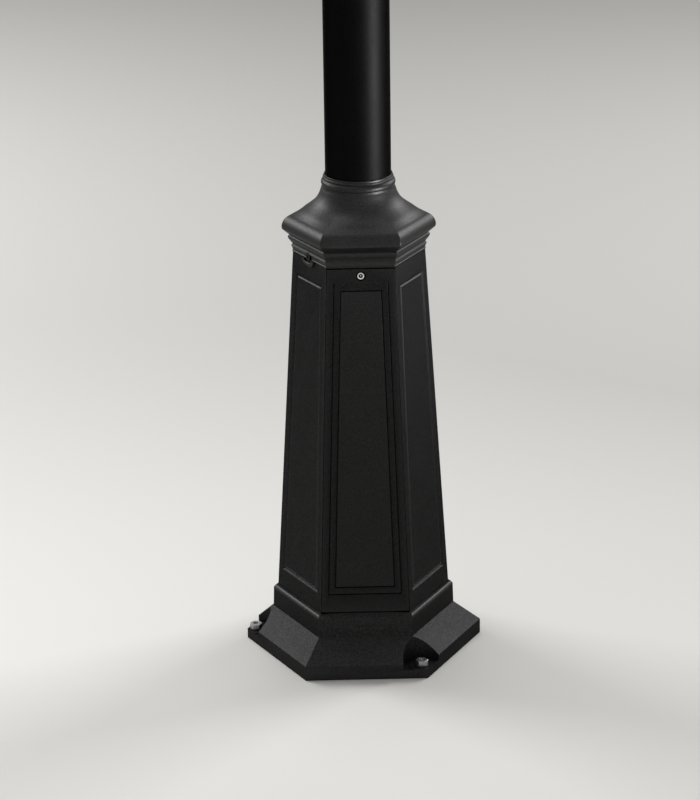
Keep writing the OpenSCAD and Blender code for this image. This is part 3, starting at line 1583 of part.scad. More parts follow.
base_casting();
access_door();
door_screw();
anchor_bolts();
anchor_washers();
column_cap();
cap_screws();
pole();
pole_clamp_screws();
gear_plate();
gear_screws();
junction_box();
junction_lid();
lid_screws();
terminal_block();
cable_glands();
earth_stud();
earth_nuts();
scroll_collar();
collar_screws();
head_hub();
hub_screws();
hub_finial();
tray_screws();
nipple_nuts();
arm_left();
arm_right();
scroll_left();
scroll_right();
arm_cup_left();
arm_cup_right();
lantern_tray_left();
lantern_tray_right();
lantern_frame_left();
lantern_frame_right();
lantern_glass_left();
lantern_glass_right();
roof_left();
roof_right();
roof_vent_left();
roof_vent_right();
roof_finial_left();
roof_finial_right();
hinge_pin_left();
hinge_pin_right();
roof_thumbscrew_left();
roof_thumbscrew_right();
holder_nipple_left();
holder_nipple_right();
lampholder_left();
lampholder_right();
bulb_cap_left();
bulb_cap_right();
bulb_glass_left();
bulb_glass_right();
filament_left();
filament_right();
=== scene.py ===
import bmesh
import bpy
import json
import math
from mathutils import Matrix, Vector


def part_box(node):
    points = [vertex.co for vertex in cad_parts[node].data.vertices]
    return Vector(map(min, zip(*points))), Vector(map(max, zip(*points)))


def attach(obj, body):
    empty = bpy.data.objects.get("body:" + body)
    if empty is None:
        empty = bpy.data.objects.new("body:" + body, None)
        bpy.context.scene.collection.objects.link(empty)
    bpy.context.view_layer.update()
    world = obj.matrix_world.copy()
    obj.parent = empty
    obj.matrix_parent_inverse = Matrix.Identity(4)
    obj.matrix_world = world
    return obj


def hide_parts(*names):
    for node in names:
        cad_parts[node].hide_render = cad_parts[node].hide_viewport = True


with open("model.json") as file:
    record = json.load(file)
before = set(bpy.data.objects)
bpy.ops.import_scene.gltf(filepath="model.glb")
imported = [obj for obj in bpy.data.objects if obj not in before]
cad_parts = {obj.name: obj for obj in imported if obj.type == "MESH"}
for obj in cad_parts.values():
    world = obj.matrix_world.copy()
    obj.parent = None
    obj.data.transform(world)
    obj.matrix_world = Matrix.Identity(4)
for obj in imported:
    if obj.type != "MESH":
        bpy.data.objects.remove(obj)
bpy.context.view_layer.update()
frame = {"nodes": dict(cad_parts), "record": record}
NODES = frame["nodes"]
SLOT_OF = {part["node"]: part["material_slot"] for part in frame["record"]["subparts"]}
MM = 0.001

# Camera, fitted to the photo, in metres, radians and pixels
CAMERA_AT = Vector((-0.075987, -3.353355, 1.568153))
CAMERA_YAW = 0.018793
CAMERA_PITCH = 0.360199
CAMERA_ROLL = -0.014158
FOCAL_PIXELS = 3036.93
FRAME_LONG_PIXELS = 800
SENSOR_MM = 36
NEAREST = 0.01
FARTHEST = 200


def add_camera():
    yaw, pitch, roll = CAMERA_YAW, CAMERA_PITCH, CAMERA_ROLL
    ahead = Vector((
        math.sin(yaw) * math.cos(pitch), math.cos(yaw) * math.cos(pitch), -math.sin(pitch)))
    level = Vector((math.cos(yaw), -math.sin(yaw), 0))
    upright = level.cross(ahead)
    right = math.cos(roll) * level + math.sin(roll) * upright
    up = -math.sin(roll) * level + math.cos(roll) * upright
    data = bpy.data.cameras.new("photo_camera")
    data.sensor_fit = "AUTO"
    data.sensor_width = SENSOR_MM
    data.lens = FOCAL_PIXELS / FRAME_LONG_PIXELS * SENSOR_MM
    data.clip_start = NEAREST
    data.clip_end = FARTHEST
    camera = bpy.data.objects.new("photo_camera", data)
    bpy.context.scene.collection.objects.link(camera)
    turn = Matrix((right, up, -ahead)).transposed().to_4x4()
    camera.matrix_world = Matrix.Translation(CAMERA_AT) @ turn
    bpy.context.scene.camera = camera


class Graph:
    """Builds one material's or the world's nodes."""

    def __init__(self, tree):
        self.tree = tree
        self.tree.nodes.clear()

    def node(self, kind, inputs=None, **settings):
        made = self.tree.nodes.new(kind)
        for name, value in settings.items():
            setattr(made, name, value)
        for name, value in (inputs or {}).items():
            self.put(made.inputs[name], value)
        return made

    def put(self, socket, value):
        if isinstance(value, bpy.types.NodeSocket):
            self.tree.links.new(value, socket)
        else:
            socket.default_value = value

    def math(self, operation, *values):
        made = self.node("ShaderNodeMath", operation=operation)
        for socket, value in zip(made.inputs, values):
            self.put(socket, value)
        return made.outputs[0]

    def spread(self, value, low, high, to_low=0.0, to_high=1.0, easing="LINEAR"):
        made = self.node("ShaderNodeMapRange", {
            "Value": value, "From Min": low, "From Max": high, "To Min": to_low,
            "To Max": to_high}, interpolation_type=easing)
        return made.outputs[0]

    def noise(self, where, scale, detail=2.0, rough=0.5, stretch=None):
        if stretch:
            made = self.node("ShaderNodeMapping", {"Vector": where, "Scale": stretch})
            where = made.outputs[0]
        made = self.node("ShaderNodeTexNoise", {
            "Vector": where, "Scale": scale, "Detail": detail, "Roughness": rough})
        return made.outputs["Fac"]

    def blend(self, share, first, second):
        made = self.node("ShaderNodeMix", data_type="RGBA", clamp_factor=True)
        sockets = [s for s in made.inputs if s.enabled]
        for socket, value in zip(sockets, (share, first, second)):
            self.put(socket, value)
        return [s for s in made.outputs if s.enabled][0]

    def bump(self, height, strength, distance, normal=None):
        made = self.node("ShaderNodeBump", {
            "Strength": strength, "Distance": distance, "Height": height})
        if normal:
            self.put(made.inputs["Normal"], normal)
        return made.outputs[0]

    def place(self):
        return self.node("ShaderNodeTexCoord").outputs["Object"]

    def finish(self, sockets, normal=None):
        shader = self.node("ShaderNodeBsdfPrincipled", sockets)
        if normal:
            self.put(shader.inputs["Normal"], normal)
        self.node("ShaderNodeOutputMaterial", {"Surface": shader.outputs[0]})


def rgba(value, tint=(1, 1, 1)):
    return tuple(value * t for t in tint) + (1,)


def new_material(name):
    made = bpy.data.materials.new(name)
    made.use_nodes = True
    return made, Graph(made.node_tree)


# Shares of the noise that most materials use, and the powder coat's own numbers
NOISE_SPAN = (0.3, 0.7)
SMEAR_SPAN = (0.4, 0.75)
SPECK_SHARE = 0.8
CLOUD_SHARE = 0.2
COAT_SPAN = (0.38, 0.64)
COAT_GRAIN = 1500.0
PEEL_COARSER = 6
SPECK_COARSER = 2.5
GRAIN_DEPTH = 0.05 * MM
COOLER = (1, 1, 1.02)
# Sharp edges, found by Pointiness, are painted lighter: a painted highlight
EDGE_SPAN = (0.555, 0.62)
EDGE_BREAK = 0.06
PAINTED_EDGE_HIGHLIGHT = 0.06
GLASS_IOR = 1.45


def powder_coat(name, dark, light, rough, edge_highlight, grain=1.0, depth=1.0, edge_tint=0.45):
    """Black powder coat: fine orange-peel grain, cloudy sheen, and sharp edges painted a little
    lighter as a painted highlight.
    """
    made, g = new_material(name)
    grain *= COAT_GRAIN
    depth *= GRAIN_DEPTH
    where = g.place()
    fine = g.noise(where, grain, 3.0, 0.6)
    peel = g.noise(where, grain / PEEL_COARSER)
    cloud = g.noise(where, 34.0, 5.0, 0.62)
    speck = g.noise(where, grain / SPECK_COARSER, 1.0, 0.4)
    cloudy = g.math("MULTIPLY", cloud, CLOUD_SHARE)
    tone = g.spread(g.math("MULTIPLY_ADD", speck, SPECK_SHARE, cloudy), *COAT_SPAN)
    colour = g.blend(tone, rgba(dark), rgba(light, COOLER))
    # Painted highlight: the colour turns lighter towards sharp edges
    edge = g.node("ShaderNodeNewGeometry").outputs["Pointiness"]
    edge = g.math("MULTIPLY_ADD", fine, EDGE_BREAK, edge)
    colour = g.blend(g.spread(edge, *EDGE_SPAN, 0.0, edge_highlight), colour, rgba(PAINTED_EDGE_HIGHLIGHT))
    normal = g.bump(peel, 0.35, depth * 2)
    normal = g.bump(fine, 0.5, depth, normal)
    g.finish({
        "Base Color": colour, "Roughness": g.spread(cloud, *NOISE_SPAN, rough - 0.02, rough + 0.03),
        "Metallic": 1.0, "Specular Tint": rgba(edge_tint)}, normal)
    return made


def bare_metal(name, dark, light, rough, streak=(1, 1, 1), depth=0.02 * MM):
    """Plated, galvanised or brushed metal with uneven sheen and fine scratches."""
    made, g = new_material(name)
    where = g.place()
    cloud = g.noise(where, 140.0, 3.0, 0.6)
    scratch = g.noise(where, 2600.0, 2.0, 0.6, streak)
    uneven = g.spread(cloud, *NOISE_SPAN, rough - 0.08, rough + 0.04)
    g.finish({
        "Base Color": g.blend(g.spread(cloud, *NOISE_SPAN), dark, light),
        "Roughness": g.math("MULTIPLY_ADD", scratch, 0.2, uneven), "Metallic": 1.0},
        g.bump(scratch, 0.3, depth))
    return made


def moulded(name, dark, light, rough, coat=0.0, depth=0.05 * MM):
    """Plastic or glazed ceramic with a faint moulded texture."""
    made, g = new_material(name)
    where = g.place()
    cloud = g.noise(where, 60.0, 3.0)
    fine = g.noise(where, 900.0)
    g.finish({
        "Base Color": g.blend(g.spread(cloud, *NOISE_SPAN), dark, light),
        "Roughness": g.spread(fine, *NOISE_SPAN, rough - 0.04, rough + 0.05),
        "Coat Weight": coat}, g.bump(fine, 0.25, depth))
    return made


def clear_glass(name, tint, wave, depth, rough=0.02):
    """Glass with a faint wave and thin smears."""
    made, g = new_material(name)
    where = g.place()
    ripple = g.noise(where, wave, 2.0, 0.4)
    smear = g.noise(where, 45.0, 4.0, 0.6)
    g.finish({
        "Base Color": tint, "Roughness": g.spread(smear, *SMEAR_SPAN, rough, rough + 0.05),
        "IOR": GLASS_IOR, "Transmission Weight": 1.0}, g.bump(ripple, 0.2, depth))
    return made


BLUISH = (0.98, 1, 1.02)
BRUSHED = {"streak": (1, 1, 0.1), "depth": 0.01 * MM}
MATERIALS = {
    "base_casting": powder_coat("base_coat", 0.018, 0.034, 0.54, 0.3),
    # door_coat: a darker copy of the base coat, painted shade on the front door
    "door_coat": powder_coat("door_coat", 0.012, 0.022, 0.56, 0.25),
    # cap_coat: a lighter copy of the base coat, painted highlight on the cap
    "cap_coat": powder_coat("cap_coat", 0.027, 0.043, 0.46, 0.35, grain=1.2, edge_tint=0.72),
    "head_coat": powder_coat("head_coat", 0.022, 0.034, 0.50, 0.35, grain=1.2),
    "arm_coat": powder_coat("arm_coat", 0.020, 0.030, 0.46, 0.2, grain=1.4, depth=0.7),
    "steel_coat": powder_coat("steel_coat", 0.018, 0.028, 0.48, 0.3, grain=1.4),
    # pole_coat: the pole's black paint made near-black, painted shade standing in for dark
    # surroundings in its reflection
    "pole_coat": powder_coat("pole_coat", 0.0045, 0.007, 0.50, 0.0, grain=1.4, depth=0.5),
    "stainless": bare_metal("stainless", rgba(0.92), rgba(0.97), 0.2, **BRUSHED),
    "zinc_bolts": bare_metal("zinc_bolts", rgba(0.25, BLUISH), rgba(0.42), 0.3),
    # zinc_washers: zinc coloured near-black, painted shade round the bolts in their pockets
    "zinc_washers": bare_metal("zinc_washers", rgba(0.05, (0.98, 1, 1.03)), rgba(0.12), 0.4),
    "zinc_sheet": bare_metal(
        "zinc_sheet", rgba(0.42, (0.97, 1, 1.04)), rgba(0.62), 0.42, (1, 0.1, 1)),
    "box_plastic": moulded("box_plastic", rgba(0.42, BLUISH), rgba(0.48, BLUISH), 0.5),
    "terminal_plastic": moulded(
        "terminal_plastic", (0.72, 0.68, 0.55, 1), (0.78, 0.74, 0.62, 1), 0.36),
    "gland_plastic": moulded("gland_plastic", rgba(0.018), rgba(0.03), 0.45),
    "brass_parts": bare_metal(
        "brass_parts", (0.55, 0.36, 0.12, 1), (0.74, 0.53, 0.22, 1), 0.28, **BRUSHED),
    "brass_cap": bare_metal(
        "brass_cap", (0.6, 0.42, 0.16, 1), (0.78, 0.6, 0.28, 1), 0.24, **BRUSHED),
    "pane_glass": clear_glass("pane_glass", (0.93, 0.97, 0.96, 1), 9.0, 0.4 * MM),
    "bulb_glass": clear_glass("bulb_glass", (0.98, 0.98, 0.97, 1), 16.0, 0.1 * MM, 0.01),
    "holder_ceramic": moulded(
        "holder_ceramic", rgba(0.74, (1, 0.99, 0.95)), rgba(0.8, (1, 0.99, 0.96)), 0.22,
        coat=0.6, depth=0.02 * MM),
    # filament_glow: amber colour with no emission, a painted glow on the filament
    "filament_glow": moulded(
        "filament_glow", (0.72, 0.4, 0.07, 1), (0.85, 0.52, 0.12, 1), 0.4),
}
# Lighter, glossier coat for the edge sheets: a painted highlight
PAINTED_HIGHLIGHT_COAT = powder_coat("painted_highlight_coat", 0.030, 0.042, 0.44, 0.0, depth=0.5, edge_tint=0.6)
# Near-black steel for the door screw's socket lining and the cap screws: painted shade
PAINTED_SHADE_BLACK = bare_metal("painted_shade_black", rgba(0.008), rgba(0.016), 0.5)

# Softened edges
WELD = 0.001 * MM
FLAT_ANGLE = math.radians(0.2)
EDGE_ANGLE = math.radians(32)
ROUND_OVER = {
    "base_casting": 0.6 * MM, "column_cap": 0.5 * MM, "access_door": 0.4 * MM,
}
OTHER_ROUND_OVER = 0.25 * MM
SMALL_ROUND_OVER = 0.1 * MM
SMALL_PARTS = ("screw", "nut", "stud", "filament", "nipple", "pin", "gland", "terminal")


def soften(name, node):
    """Softened edges and smooth shading by modifiers, the mesh's points left as they are."""
    mesh = node.data
    if "custom_normal" in mesh.attributes:
        mesh.attributes.remove(mesh.attributes["custom_normal"])
    mesh.polygons.foreach_set("use_smooth", [True] * len(mesh.polygons))
    node.modifiers.new("weld", "WELD").merge_threshold = WELD
    flat = node.modifiers.new("flat", "DECIMATE")
    flat.decimate_type = "DISSOLVE"
    flat.angle_limit = FLAT_ANGLE
    small = any(word in name for word in SMALL_PARTS)
    bevel = node.modifiers.new("edges", "BEVEL")
    bevel.width = ROUND_OVER.get(name, SMALL_ROUND_OVER if small else OTHER_ROUND_OVER)
    bevel.segments = 2
    bevel.limit_method = "ANGLE"
    bevel.angle_limit = EDGE_ANGLE
    bevel.use_clamp_overlap = True
    weigh = node.modifiers.new("shade", "WEIGHTED_NORMAL")
    weigh.mode = "FACE_AREA"
    weigh.weight = 100
    weigh.keep_sharp = False


def put_material(piece, material):
    for place in piece.material_slots:
        place.material = material


def wrap(around, rings, closed=True):
    """Faces over closed rings of points, and from the last ring to the first if closed."""
    faces = []
    for k in range(rings if closed else rings - 1):
        up = (k + 1) % rings
        for i in range(around):
            j = (i + 1) % around
            faces.append((k * around + i, k * around + j, up * around + j, up * around + i))
    return faces


# The column's head lies this far under the top of its pole socket, in metres
SOCKET_RISE = 0.047
HEAD_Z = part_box("base_casting")[1].z - SOCKET_RISE
# The hexagon's left and right corners lie a little further in, and its ridges are cut off
SIDE_CORNER_SHARE = 0.98
RIDGE_SHARE = 0.9975

# Cap: hexagonal and round part of each ring's radius, and its height over the column's head, in mm
RIM_AND_COVE = [
    (77.3, 0, 0.0), (77.7, 0, 0.3), (78.9, 0, 0.9), (79.3, 0, 1.6), (79.1, 0, 2.3),
    (78.5, 0, 2.8), (78.5, 0, 3.2), (79.0, 0, 5.2), (79.6, 0, 7.0), (80.2, 0, 7.8),
    (80.3, 0, 8.3), (80.0, 0, 8.8), (79.2, 0, 9.9), (78.9, 0, 10.5), (79.0, 0, 10.9),
    (79.6, 0, 11.6), (80.6, 0, 12.8), (82.0, 0, 14.5), (83.3, 0, 16.4), (84.1, 0, 18.0),
    (84.2, 0, 18.8), (84.0, 0, 19.5), (83.2, 0, 20.6), (82.6, 0, 21.0), (82.6, 0, 21.3),
    (83.4, 0, 22.0), (87.1, 0, 25.0), (90.2, 0, 27.6), (91.0, 0, 28.5)]
# Arcs: middle, radius, first and last angle in degrees, steps
SHOULDER = ((76.1, 29.9), 15.3, 4, 64, 12)
BEAD = ((37.7, 84.0), 5.2, -34, 62, 12)
LIP = ((39.2, 90.4), 1.5, -60, 80, 6)
# Bell: the hexagon fades out and leaves a round neck
BELL = [
    (80.6, 0.6, 44.3), (72.0, 6.8, 45.3), (61.0, 14.4, 46.9), (46.0, 25.2, 48.9),
    (32.0, 35.4, 50.9), (18.5, 44.2, 52.9), (8.0, 50.8, 54.9), (2.5, 53.0, 56.9),
    (0.5, 52.4, 59.0), (0, 50.6, 61.3), (0, 48.6, 64.0), (0, 46.8, 67.0), (0, 45.3, 70.0),
    (0, 44.2, 73.0), (0, 43.4, 75.6)]
NECK = [(42.8, 77.3), (42.4, 78.2), (42.2, 79.0), (42.2, 80.0)]
BORE_R = 38.25
NECK_TOP_Z = 94.0
MOUTH = [
    (39.4, NECK_TOP_Z - 0.3), (39.1, NECK_TOP_Z), (BORE_R + 0.2, NECK_TOP_Z),
    (BORE_R, NECK_TOP_Z - 0.3), (BORE_R, 50.0)]
INSIDE = [(72.0, 0, 38.0), (72.0, 0, 0.0)]
# Degrees from a ridge, closer together near it
RIDGE_STEPS = [0, 0.35, 0.9, 1.8, 3.2, 5, 7.5, 10.5, 14, 18, 22, 26]


def arc(centre, size, start, end, steps):
    turns = [math.radians(start + (end - start) * k / steps) for k in range(steps + 1)]
    return [(centre[0] + size * math.cos(t), centre[1] + size * math.sin(t)) for t in turns]


def cap_rings():
    shoulder = [(r, 0, z) for r, z in arc(*SHOULDER)]
    neck = [(0, r, z) for r, z in NECK + arc(*BEAD) + arc(*LIP) + MOUTH]
    return RIM_AND_COVE + shoulder + BELL + neck + INSIDE


def cap_corner(index):
    share = SIDE_CORNER_SHARE if index % 3 == 0 else 1
    turn = math.radians(60 * index)
    return Vector((math.cos(turn), math.sin(turn))) * share


def hexagon_reach(angle):
    """Distance from the middle to the hexagon's side in that direction, for a corner at 1."""
    index = int(angle // 60) % 6
    foot = cap_corner(index)
    along = cap_corner(index + 1) - foot
    turn = math.radians(angle)
    across = math.cos(turn) * along.y - math.sin(turn) * along.x
    return (foot.x * along.y - foot.y * along.x) / across


def ring_angles():
    """Angles round the cap, closer together near the six ridges."""
    side = RIDGE_STEPS + [30] + [60 - s for s in reversed(RIDGE_STEPS[1:])]
    return [60 * index + s for index in range(6) for s in side]


def ring_reach(angle):
    ridge = RIDGE_SHARE if round(angle / 60) % 3 else RIDGE_SHARE * SIDE_CORNER_SHARE
    return min(hexagon_reach(angle), ridge)


def loft(rings, angles):
    """Points and faces of a closed skin through rings, the last joined to the first."""
    points = []
    for hexagonal, rounded, z in rings:
        for angle in angles:
            size = (hexagonal * ring_reach(angle) + rounded) * MM
            turn = math.radians(angle)
            points.append((size * math.cos(turn), size * math.sin(turn), HEAD_Z + z * MM))
    return points, wrap(len(angles), len(rings))


# Lug under the rim's side face: turn in degrees, the rest in mm
LUG_TURN = 28.999
RIM_R = 77.7
RIM_FLAT_SHARE = 0.85715
LUG_Y = 1.554
LUG_Z = 1.2
# Half width and height of its outside and of its recess
LUG_OUTER = (12.6, 7.2)
LUG_INNER = (8.2, 3.2)
LUG_OUT = 3.4
LUG_FLOOR = 0.6
LUG_ROOT = -3.0
LUG_POWER = 2.6
LUG_STEPS = 32
# Share of the way from the outside to the recess and to the middle, and height over the rim
LUG_SECTIONS = [
    (0, 0, LUG_ROOT), (0, 0, LUG_OUT - 0.5), (0.12, 0, LUG_OUT), (0.88, 0, LUG_OUT),
    (1, 0, LUG_OUT - 0.4), (1, 0, LUG_FLOOR), (1, 0.999, LUG_FLOOR), (1, 0.999, LUG_ROOT)]
# Nub: height, place round the lug's edge and width, both in degrees
NUB_SIZE = 1.3
NUB_TURN = 293
NUB_WIDTH = 7


def lug(turn):
    """Lug that hangs under the rim: a raised wall round a sunk floor, with a small cast nub."""
    face = Matrix.Rotation(math.radians(turn), 3, "Z")
    points = []
    for k in range(LUG_STEPS + 1):
        degrees = 180 + 180 * k / LUG_STEPS
        across, down = math.cos(math.radians(degrees)), math.sin(math.radians(degrees))
        across = math.copysign(abs(across) ** (2 / LUG_POWER), across)
        down = -abs(down) ** (2 / LUG_POWER)
        nub = NUB_SIZE * math.exp(-((degrees - NUB_TURN) / NUB_WIDTH) ** 2)
        for inward, shut, out in LUG_SECTIONS:
            wide, high = (a + (b - a) * inward for a, b in zip(LUG_OUTER, LUG_INNER))
            high += nub * (1 - inward)
            y = LUG_Y + across * wide * (1 - shut)
            z = LUG_Z + down * high * (1 - shut)
            point = face @ Vector((RIM_R * RIM_FLAT_SHARE + out, y, z)) * MM
            points.append(point + Vector((0, 0, HEAD_Z)))
    n = len(LUG_SECTIONS)
    faces = wrap(n, LUG_STEPS + 1, False)
    return points, faces + [tuple(range(n)), tuple(LUG_STEPS * n + i for i in reversed(range(n)))]


# Column: sizes in mm, as in the part's source
COLUMN_FOOT_R = 104.7
COLUMN_HEAD_R = 78.3
COLUMN_H = 419.0
STEP_Z = 71.0
BAND_Z = 65.5
BAND_R = 110.2
FRONT_TURN = -90
FLAT_SHARE = math.cos(math.radians(30))
SIDE_EDGE_SHARE = math.hypot(SIDE_CORNER_SHARE - 0.5, FLAT_SHARE)
SIDE_TURN = math.degrees(math.atan2(SIDE_CORNER_SHARE - 0.5, FLAT_SHARE))
SIDE_FLAT_SHARE = SIDE_CORNER_SHARE * FLAT_SHARE / SIDE_EDGE_SHARE
SIDE_MID_SHARE = (1 - SIDE_CORNER_SHARE) / 2 * (1 + SIDE_CORNER_SHARE) / SIDE_EDGE_SHARE
PANEL_INSET = 9.5
PANEL_BORDER = 22.5
PANEL_DEPTH = 2.0
PANEL_BEVEL = 2.0

# Raised field of a panel and the edge sheet on it that carries a painted highlight: distance
# inwards, height over the panel's floor
FIELD_GAP = 0.7
FIELD_BEVEL = 1.7
FIELD_RISE = 1.5
FIELD_LEVELS = [
    (0, -0.3), (0, 0.15), (FIELD_BEVEL, FIELD_RISE), (FIELD_BEVEL + 1.0, FIELD_RISE)]
EDGE_LEVELS = [
    (0.25, 0.3), (0.45, 0.62), (FIELD_BEVEL - 0.1, FIELD_RISE + 0.08),
    (FIELD_BEVEL + 0.5, FIELD_RISE + 0.1), (FIELD_BEVEL + 0.7, FIELD_RISE - 0.1)]


def facet(turn, flat_share):
    """Frame of one facet of the column: X across, Y up the slope, Z outwards; and its lean."""
    lean = math.atan2((COLUMN_FOOT_R - COLUMN_HEAD_R) * flat_share, COLUMN_H)
    place = Matrix.Rotation(math.radians(turn), 4, "Z")
    place = place @ Matrix.Translation((COLUMN_FOOT_R * flat_share, 0, STEP_Z))
    place = place @ Matrix.Rotation(math.radians(90), 4, "Z")
    return place @ Matrix.Rotation(math.radians(90) - lean, 4, "X"), lean


FRONT = facet(FRONT_TURN, FLAT_SHARE)[0]


def on_panel(levels, whole, turn, flat_share=SIDE_FLAT_SHARE, edge_share=SIDE_EDGE_SHARE, mid=0):
    """Four-sided rings of points on one panel; whole closes the first and the last of them."""
    place, lean = facet(turn, flat_share)
    slope = COLUMN_H / math.cos(lean)
    points = []
    for inset, rise in levels:
        edge = PANEL_BEVEL + FIELD_GAP + inset
        for top, side in ((0, -1), (0, 1), (1, 1), (1, -1)):
            border = slope - PANEL_BORDER if top else PANEL_BORDER
            up = border - edge if top else border + edge
            r = COLUMN_FOOT_R + (COLUMN_HEAD_R - COLUMN_FOOT_R) * border / slope
            x = r * mid + side * (r * edge_share / 2 - PANEL_INSET - edge)
            points.append((place @ Vector((x, up, rise - PANEL_DEPTH))) * MM)
    faces = wrap(4, len(levels), not whole)
    if whole:
        faces += [(3, 2, 1, 0), tuple(len(points) - 4 + i for i in range(4))]
    return points, faces


def on_panels(levels, whole):
    """The same form on the back panel and the four side panels."""
    sides = ((SIDE_TURN, 1), (180 - SIDE_TURN, -1), (180 + SIDE_TURN, 1), (-SIDE_TURN, -1))
    parts = [on_panel(levels, whole, -FRONT_TURN, FLAT_SHARE, 1)]
    return parts + [on_panel(levels, whole, t, mid=h * SIDE_MID_SHARE) for t, h in sides]


# Band at the column's foot: how far its top edge goes up and the ledge's edges go down, in mm
BAND_LIFT = 1.0
LEDGE_DROP = 1.7
FRONT_LEDGE_DROP = 1.2
SEAM = 0.15
SEAM_FROM_R = 85
BAND_Z_NEAR = 0.05
STEP_Z_NEAR = 0.2
R_NEAR = 0.3
FRONT_ANGLES = (235, 305)
# The band's rounded edge, a sheet that carries a painted highlight: its two ends in degrees, and
# its profile of radii and heights in mm
BAND_ENDS = (240, 300)
BAND_EDGE = [
    (104.9, 69.0), (105.2, 69.5), (107.4, 69.2), (108.0, 69.0), (108.4, 68.7), (110.1, 67.0),
    (110.32, 66.6), (110.32, 64.6), (109.0, 64.0), (106.0, 66.0)]


def band_edge():
    """Rounded edge of the band on five sides, and none in front, under the door: a separate sheet,
    later coloured as a painted highlight.
    """
    start, end = BAND_ENDS
    angles = [a for a in ring_angles() if a >= end] + [a for a in ring_angles() if a <= start]
    points, faces = loft([(r, 0, z - HEAD_Z / MM) for r, z in BAND_EDGE], angles)
    n = len(angles)
    open_faces = [face for face in faces if not {0, n - 1} <= {i % n for i in face}]
    return points, open_faces + [tuple(range(k, len(points), n)) for k in (0, n - 1)]


def shaped_base():
    """The base casting with the flatter ledge that the photo shows over the band."""
    mesh = NODES["base_casting"].data.copy()
    shape = bmesh.new()
    shape.from_mesh(mesh)
    near = [
        v for v in shape.verts
        if abs(v.co.z - STEP_Z * MM) < MM and v.co.xy.length > SEAM_FROM_R * MM]
    bmesh.ops.remove_doubles(shape, verts=near, dist=SEAM * MM)
    for vertex in shape.verts:
        angle = math.degrees(math.atan2(vertex.co.y, vertex.co.x)) % 360
        r = vertex.co.xy.length / hexagon_reach(angle) / MM
        z = vertex.co.z / MM
        front = FRONT_ANGLES[0] < angle < FRONT_ANGLES[1]
        if abs(z - BAND_Z) < BAND_Z_NEAR and abs(r - BAND_R) < R_NEAR:
            vertex.co.z += BAND_LIFT * MM
        elif abs(z - STEP_Z) < STEP_Z_NEAR and abs(r - COLUMN_FOOT_R) < R_NEAR:
            vertex.co.z -= (FRONT_LEDGE_DROP if front else LEDGE_DROP) * MM
    shape.to_mesh(mesh)
    shape.free()
    return new_object("base_skin", mesh, "base_casting")


# Door: height of the engraved lines' floor over the facet, and how much deeper it goes, in mm
DOOR_LINE = -0.9
DOOR_LINE_DEEPER = 1.7
DOOR_LINE_NEAR = 0.05
# Door screw: radii, and heights from the top of its head or the end of its shank, in mm
SCREW_HEAD = [
    (0.01, -1.3), (0.7, -1.3), (0.85, -1.45), (0.85, -2.5), (2.3, -2.5), (2.35, -0.35),
    (2.5, -0.05), (3.2, 0.0), (3.8, -0.2), (4.15, -0.7), (4.25, -1.3), (4.25, -3.4),
    (4.15, -3.5), (2.5, -3.5)]
SCREW_SHANK = [(2.45, 0.4), (2.1, 0), (0.01, 0)]
# Lining of the screw's hex socket, coloured near-black as painted shade
SCREW_SOCKET = [
    (0.86, -2.45), (2.29, -2.45), (2.32, -0.5), (2.2, -0.42), (2.05, -1.4), (1.9, -2.1),
    (0.9, -2.2)]
SCREW_STEPS = 48


def shaped_door():
    """The access door with its engraved lines cut as deep as they look in the photo."""
    mesh = NODES["access_door"].data.copy()
    back = FRONT.inverted()
    for vertex in mesh.vertices:
        local = back @ (vertex.co / MM)
        if abs(local.z - DOOR_LINE) < DOOR_LINE_NEAR:
            local.z -= DOOR_LINE_DEEPER
            vertex.co = (FRONT @ local) * MM
    return new_object("door_skin", mesh, "door_coat")


def screw_lathe(head, shank=()):
    """Part of the door screw, turned about the axis of its CAD node."""
    back = FRONT.inverted()
    spots = [back @ (v.co / MM) for v in NODES["door_screw"].data.vertices]
    middle = [(min(q[k] for q in spots) + max(q[k] for q in spots)) / 2 for k in range(2)]
    top, foot = max(q.z for q in spots), min(q.z for q in spots)
    profile = [(r, top + z) for r, z in head] + [(r, foot + z) for r, z in shank]
    points = []
    for k in range(SCREW_STEPS):
        turn = math.radians(360 * k / SCREW_STEPS)
        for r, z in profile:
            x, y = middle[0] + r * math.cos(turn), middle[1] + r * math.sin(turn)
            points.append((FRONT @ Vector((x, y, z))) * MM)
    return points, wrap(len(profile), SCREW_STEPS)


CREASE_ANGLE = math.radians(34)


def new_object(name, mesh, slot_name):
    mesh.name = name
    piece = bpy.data.objects.new(name, mesh)
    bpy.context.scene.collection.objects.link(piece)
    mesh.materials.clear()
    mesh.materials.append(MATERIALS[slot_name])
    return piece


def make_piece(name, parts, slot_name):
    """One mesh object from lists of points and faces, smooth but for its sharp edges."""
    points, faces = [], []
    for part_points, part_faces in parts:
        start = len(points)
        points += [tuple(p) for p in part_points]
        faces += [tuple(start + i for i in face) for face in part_faces]
    mesh = bpy.data.meshes.new(name)
    mesh.from_pydata(points, [], faces)
    shape = bmesh.new()
    shape.from_mesh(mesh)
    bmesh.ops.recalc_face_normals(shape, faces=shape.faces)
    for edge in shape.edges:
        edge.smooth = len(edge.link_faces) == 2 and edge.calc_face_angle(0) < CREASE_ANGLE
    shape.to_mesh(mesh)
    shape.free()
    mesh.polygons.foreach_set("use_smooth", [True] * len(mesh.polygons))
    return new_object(name, mesh, slot_name)


